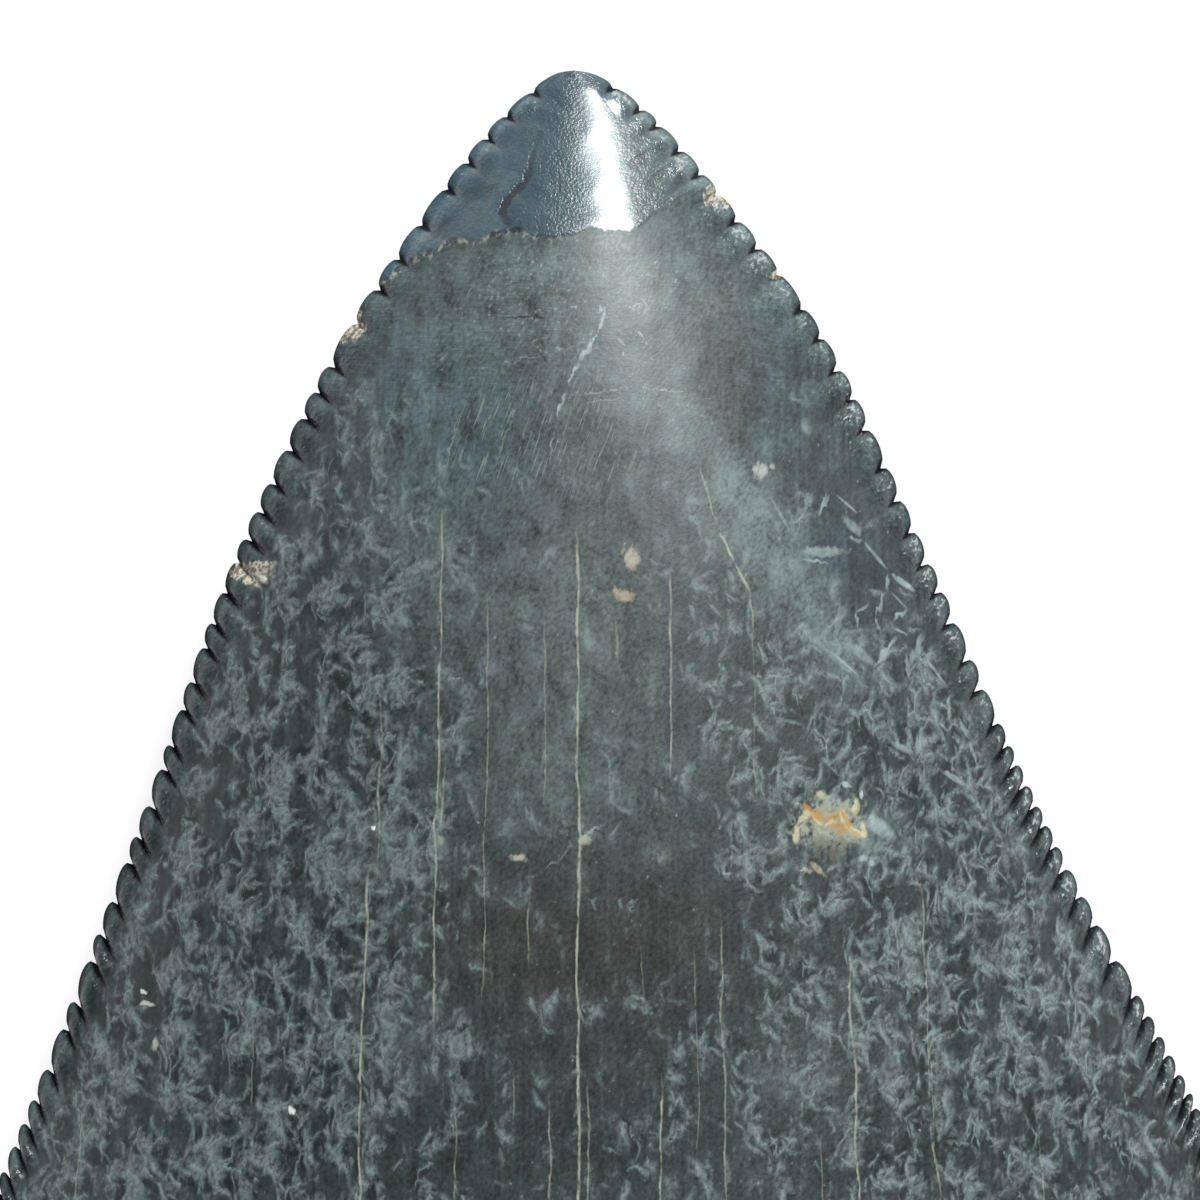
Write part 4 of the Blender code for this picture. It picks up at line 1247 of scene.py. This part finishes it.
def stage_floor():
    """A pale round floor at height 0."""
    angle = np.linspace(0, 2 * np.pi, 96, endpoint=False)
    points = np.stack([np.cos(angle), np.sin(angle), 0 * angle], -1) * FLOOR_RADIUS
    mesh = bpy.data.meshes.new("floor")
    mesh.from_pydata(points.tolist(), [], [list(range(len(angle)))])
    floor = bpy.data.objects.new("floor", mesh)
    bpy.context.scene.collection.objects.link(floor)
    material = bpy.data.materials.new("pale_floor")
    material.use_nodes = True
    shader = material.node_tree.nodes["Principled BSDF"]
    shader.inputs["Base Color"].default_value = (0.66, 0.61, 0.62, 1)
    shader.inputs["Roughness"].default_value = 0.9
    shader.inputs["Emission Color"].default_value = (1, 1, 1, 1)
    shader.inputs["Emission Strength"].default_value = FLOOR_GLOW
    material.cycles.emission_sampling = "NONE"
    mesh.materials.append(material)


def stage_light():
    """A soft key light from above the tip, and a sky that is pale low down beyond the tip and dim
    overhead."""
    lamp = bpy.data.lights.new("key", "SUN")
    lamp.energy, lamp.angle, lamp.color = KEY_POWER, KEY_WIDTH, (0.94, 1.0, 0.985)
    key = bpy.data.objects.new("key", lamp)
    key.rotation_mode = "QUATERNION"
    key.rotation_quaternion = Vector(KEY_FROM).to_track_quat("Z", "Y")
    bpy.context.scene.collection.objects.link(key)
    world = bpy.data.worlds.new("sky")
    world.use_nodes = True
    world.cycles.sampling_method = "NONE"
    bpy.context.scene.world = world
    tree = world.node_tree
    where = tree.nodes.new("ShaderNodeTexCoord")
    halved = tree.nodes.new("ShaderNodeVectorMath")
    halved.operation = "MULTIPLY_ADD"
    halved.inputs[1].default_value, halved.inputs[2].default_value = (0.5, 0.5, 1.0), (0.5, 0.5, 0.0)
    split = tree.nodes.new("ShaderNodeSeparateXYZ")
    tree.links.new(where.outputs["Generated"], halved.inputs[0])
    tree.links.new(halved.outputs[0], split.inputs[0])
    product = tree.nodes.new("ShaderNodeVectorMath")
    product.operation = "MULTIPLY"
    for number, (axis, shades) in enumerate((("Z", SKY), ("Y", SIDES_OF_SKY))):
        ramp = tree.nodes.new("ShaderNodeValToRGB")
        stops = ramp.color_ramp.elements
        stops[0].position, stops[0].color = shades[0]
        stops[1].position, stops[1].color = shades[-1]
        for position, colour in shades[1:-1]:
            stops.new(position).color = colour
        tree.links.new(split.outputs[axis], ramp.inputs[0])
        tree.links.new(ramp.outputs[0], product.inputs[number])
    tree.links.new(product.outputs[0], tree.nodes["Background"].inputs["Color"])


def stage_camera():
    """A camera straight above the crown, with the tip's direction up."""
    data = bpy.data.cameras.new("camera")
    data.lens, data.sensor_width, data.clip_start = 100.0, 36.0, 0.005
    camera = bpy.data.objects.new("camera", data)
    across, station = CAMERA_PLACE
    camera.location = ((TIP_X + across) * MM, (TIP_Y - station) * MM, CAMERA_HEIGHT * MM)
    bpy.context.scene.collection.objects.link(camera)
    bpy.context.scene.camera = camera


stage_floor()
stage_light()
stage_camera()
bpy.context.scene.view_settings.view_transform = "Standard"
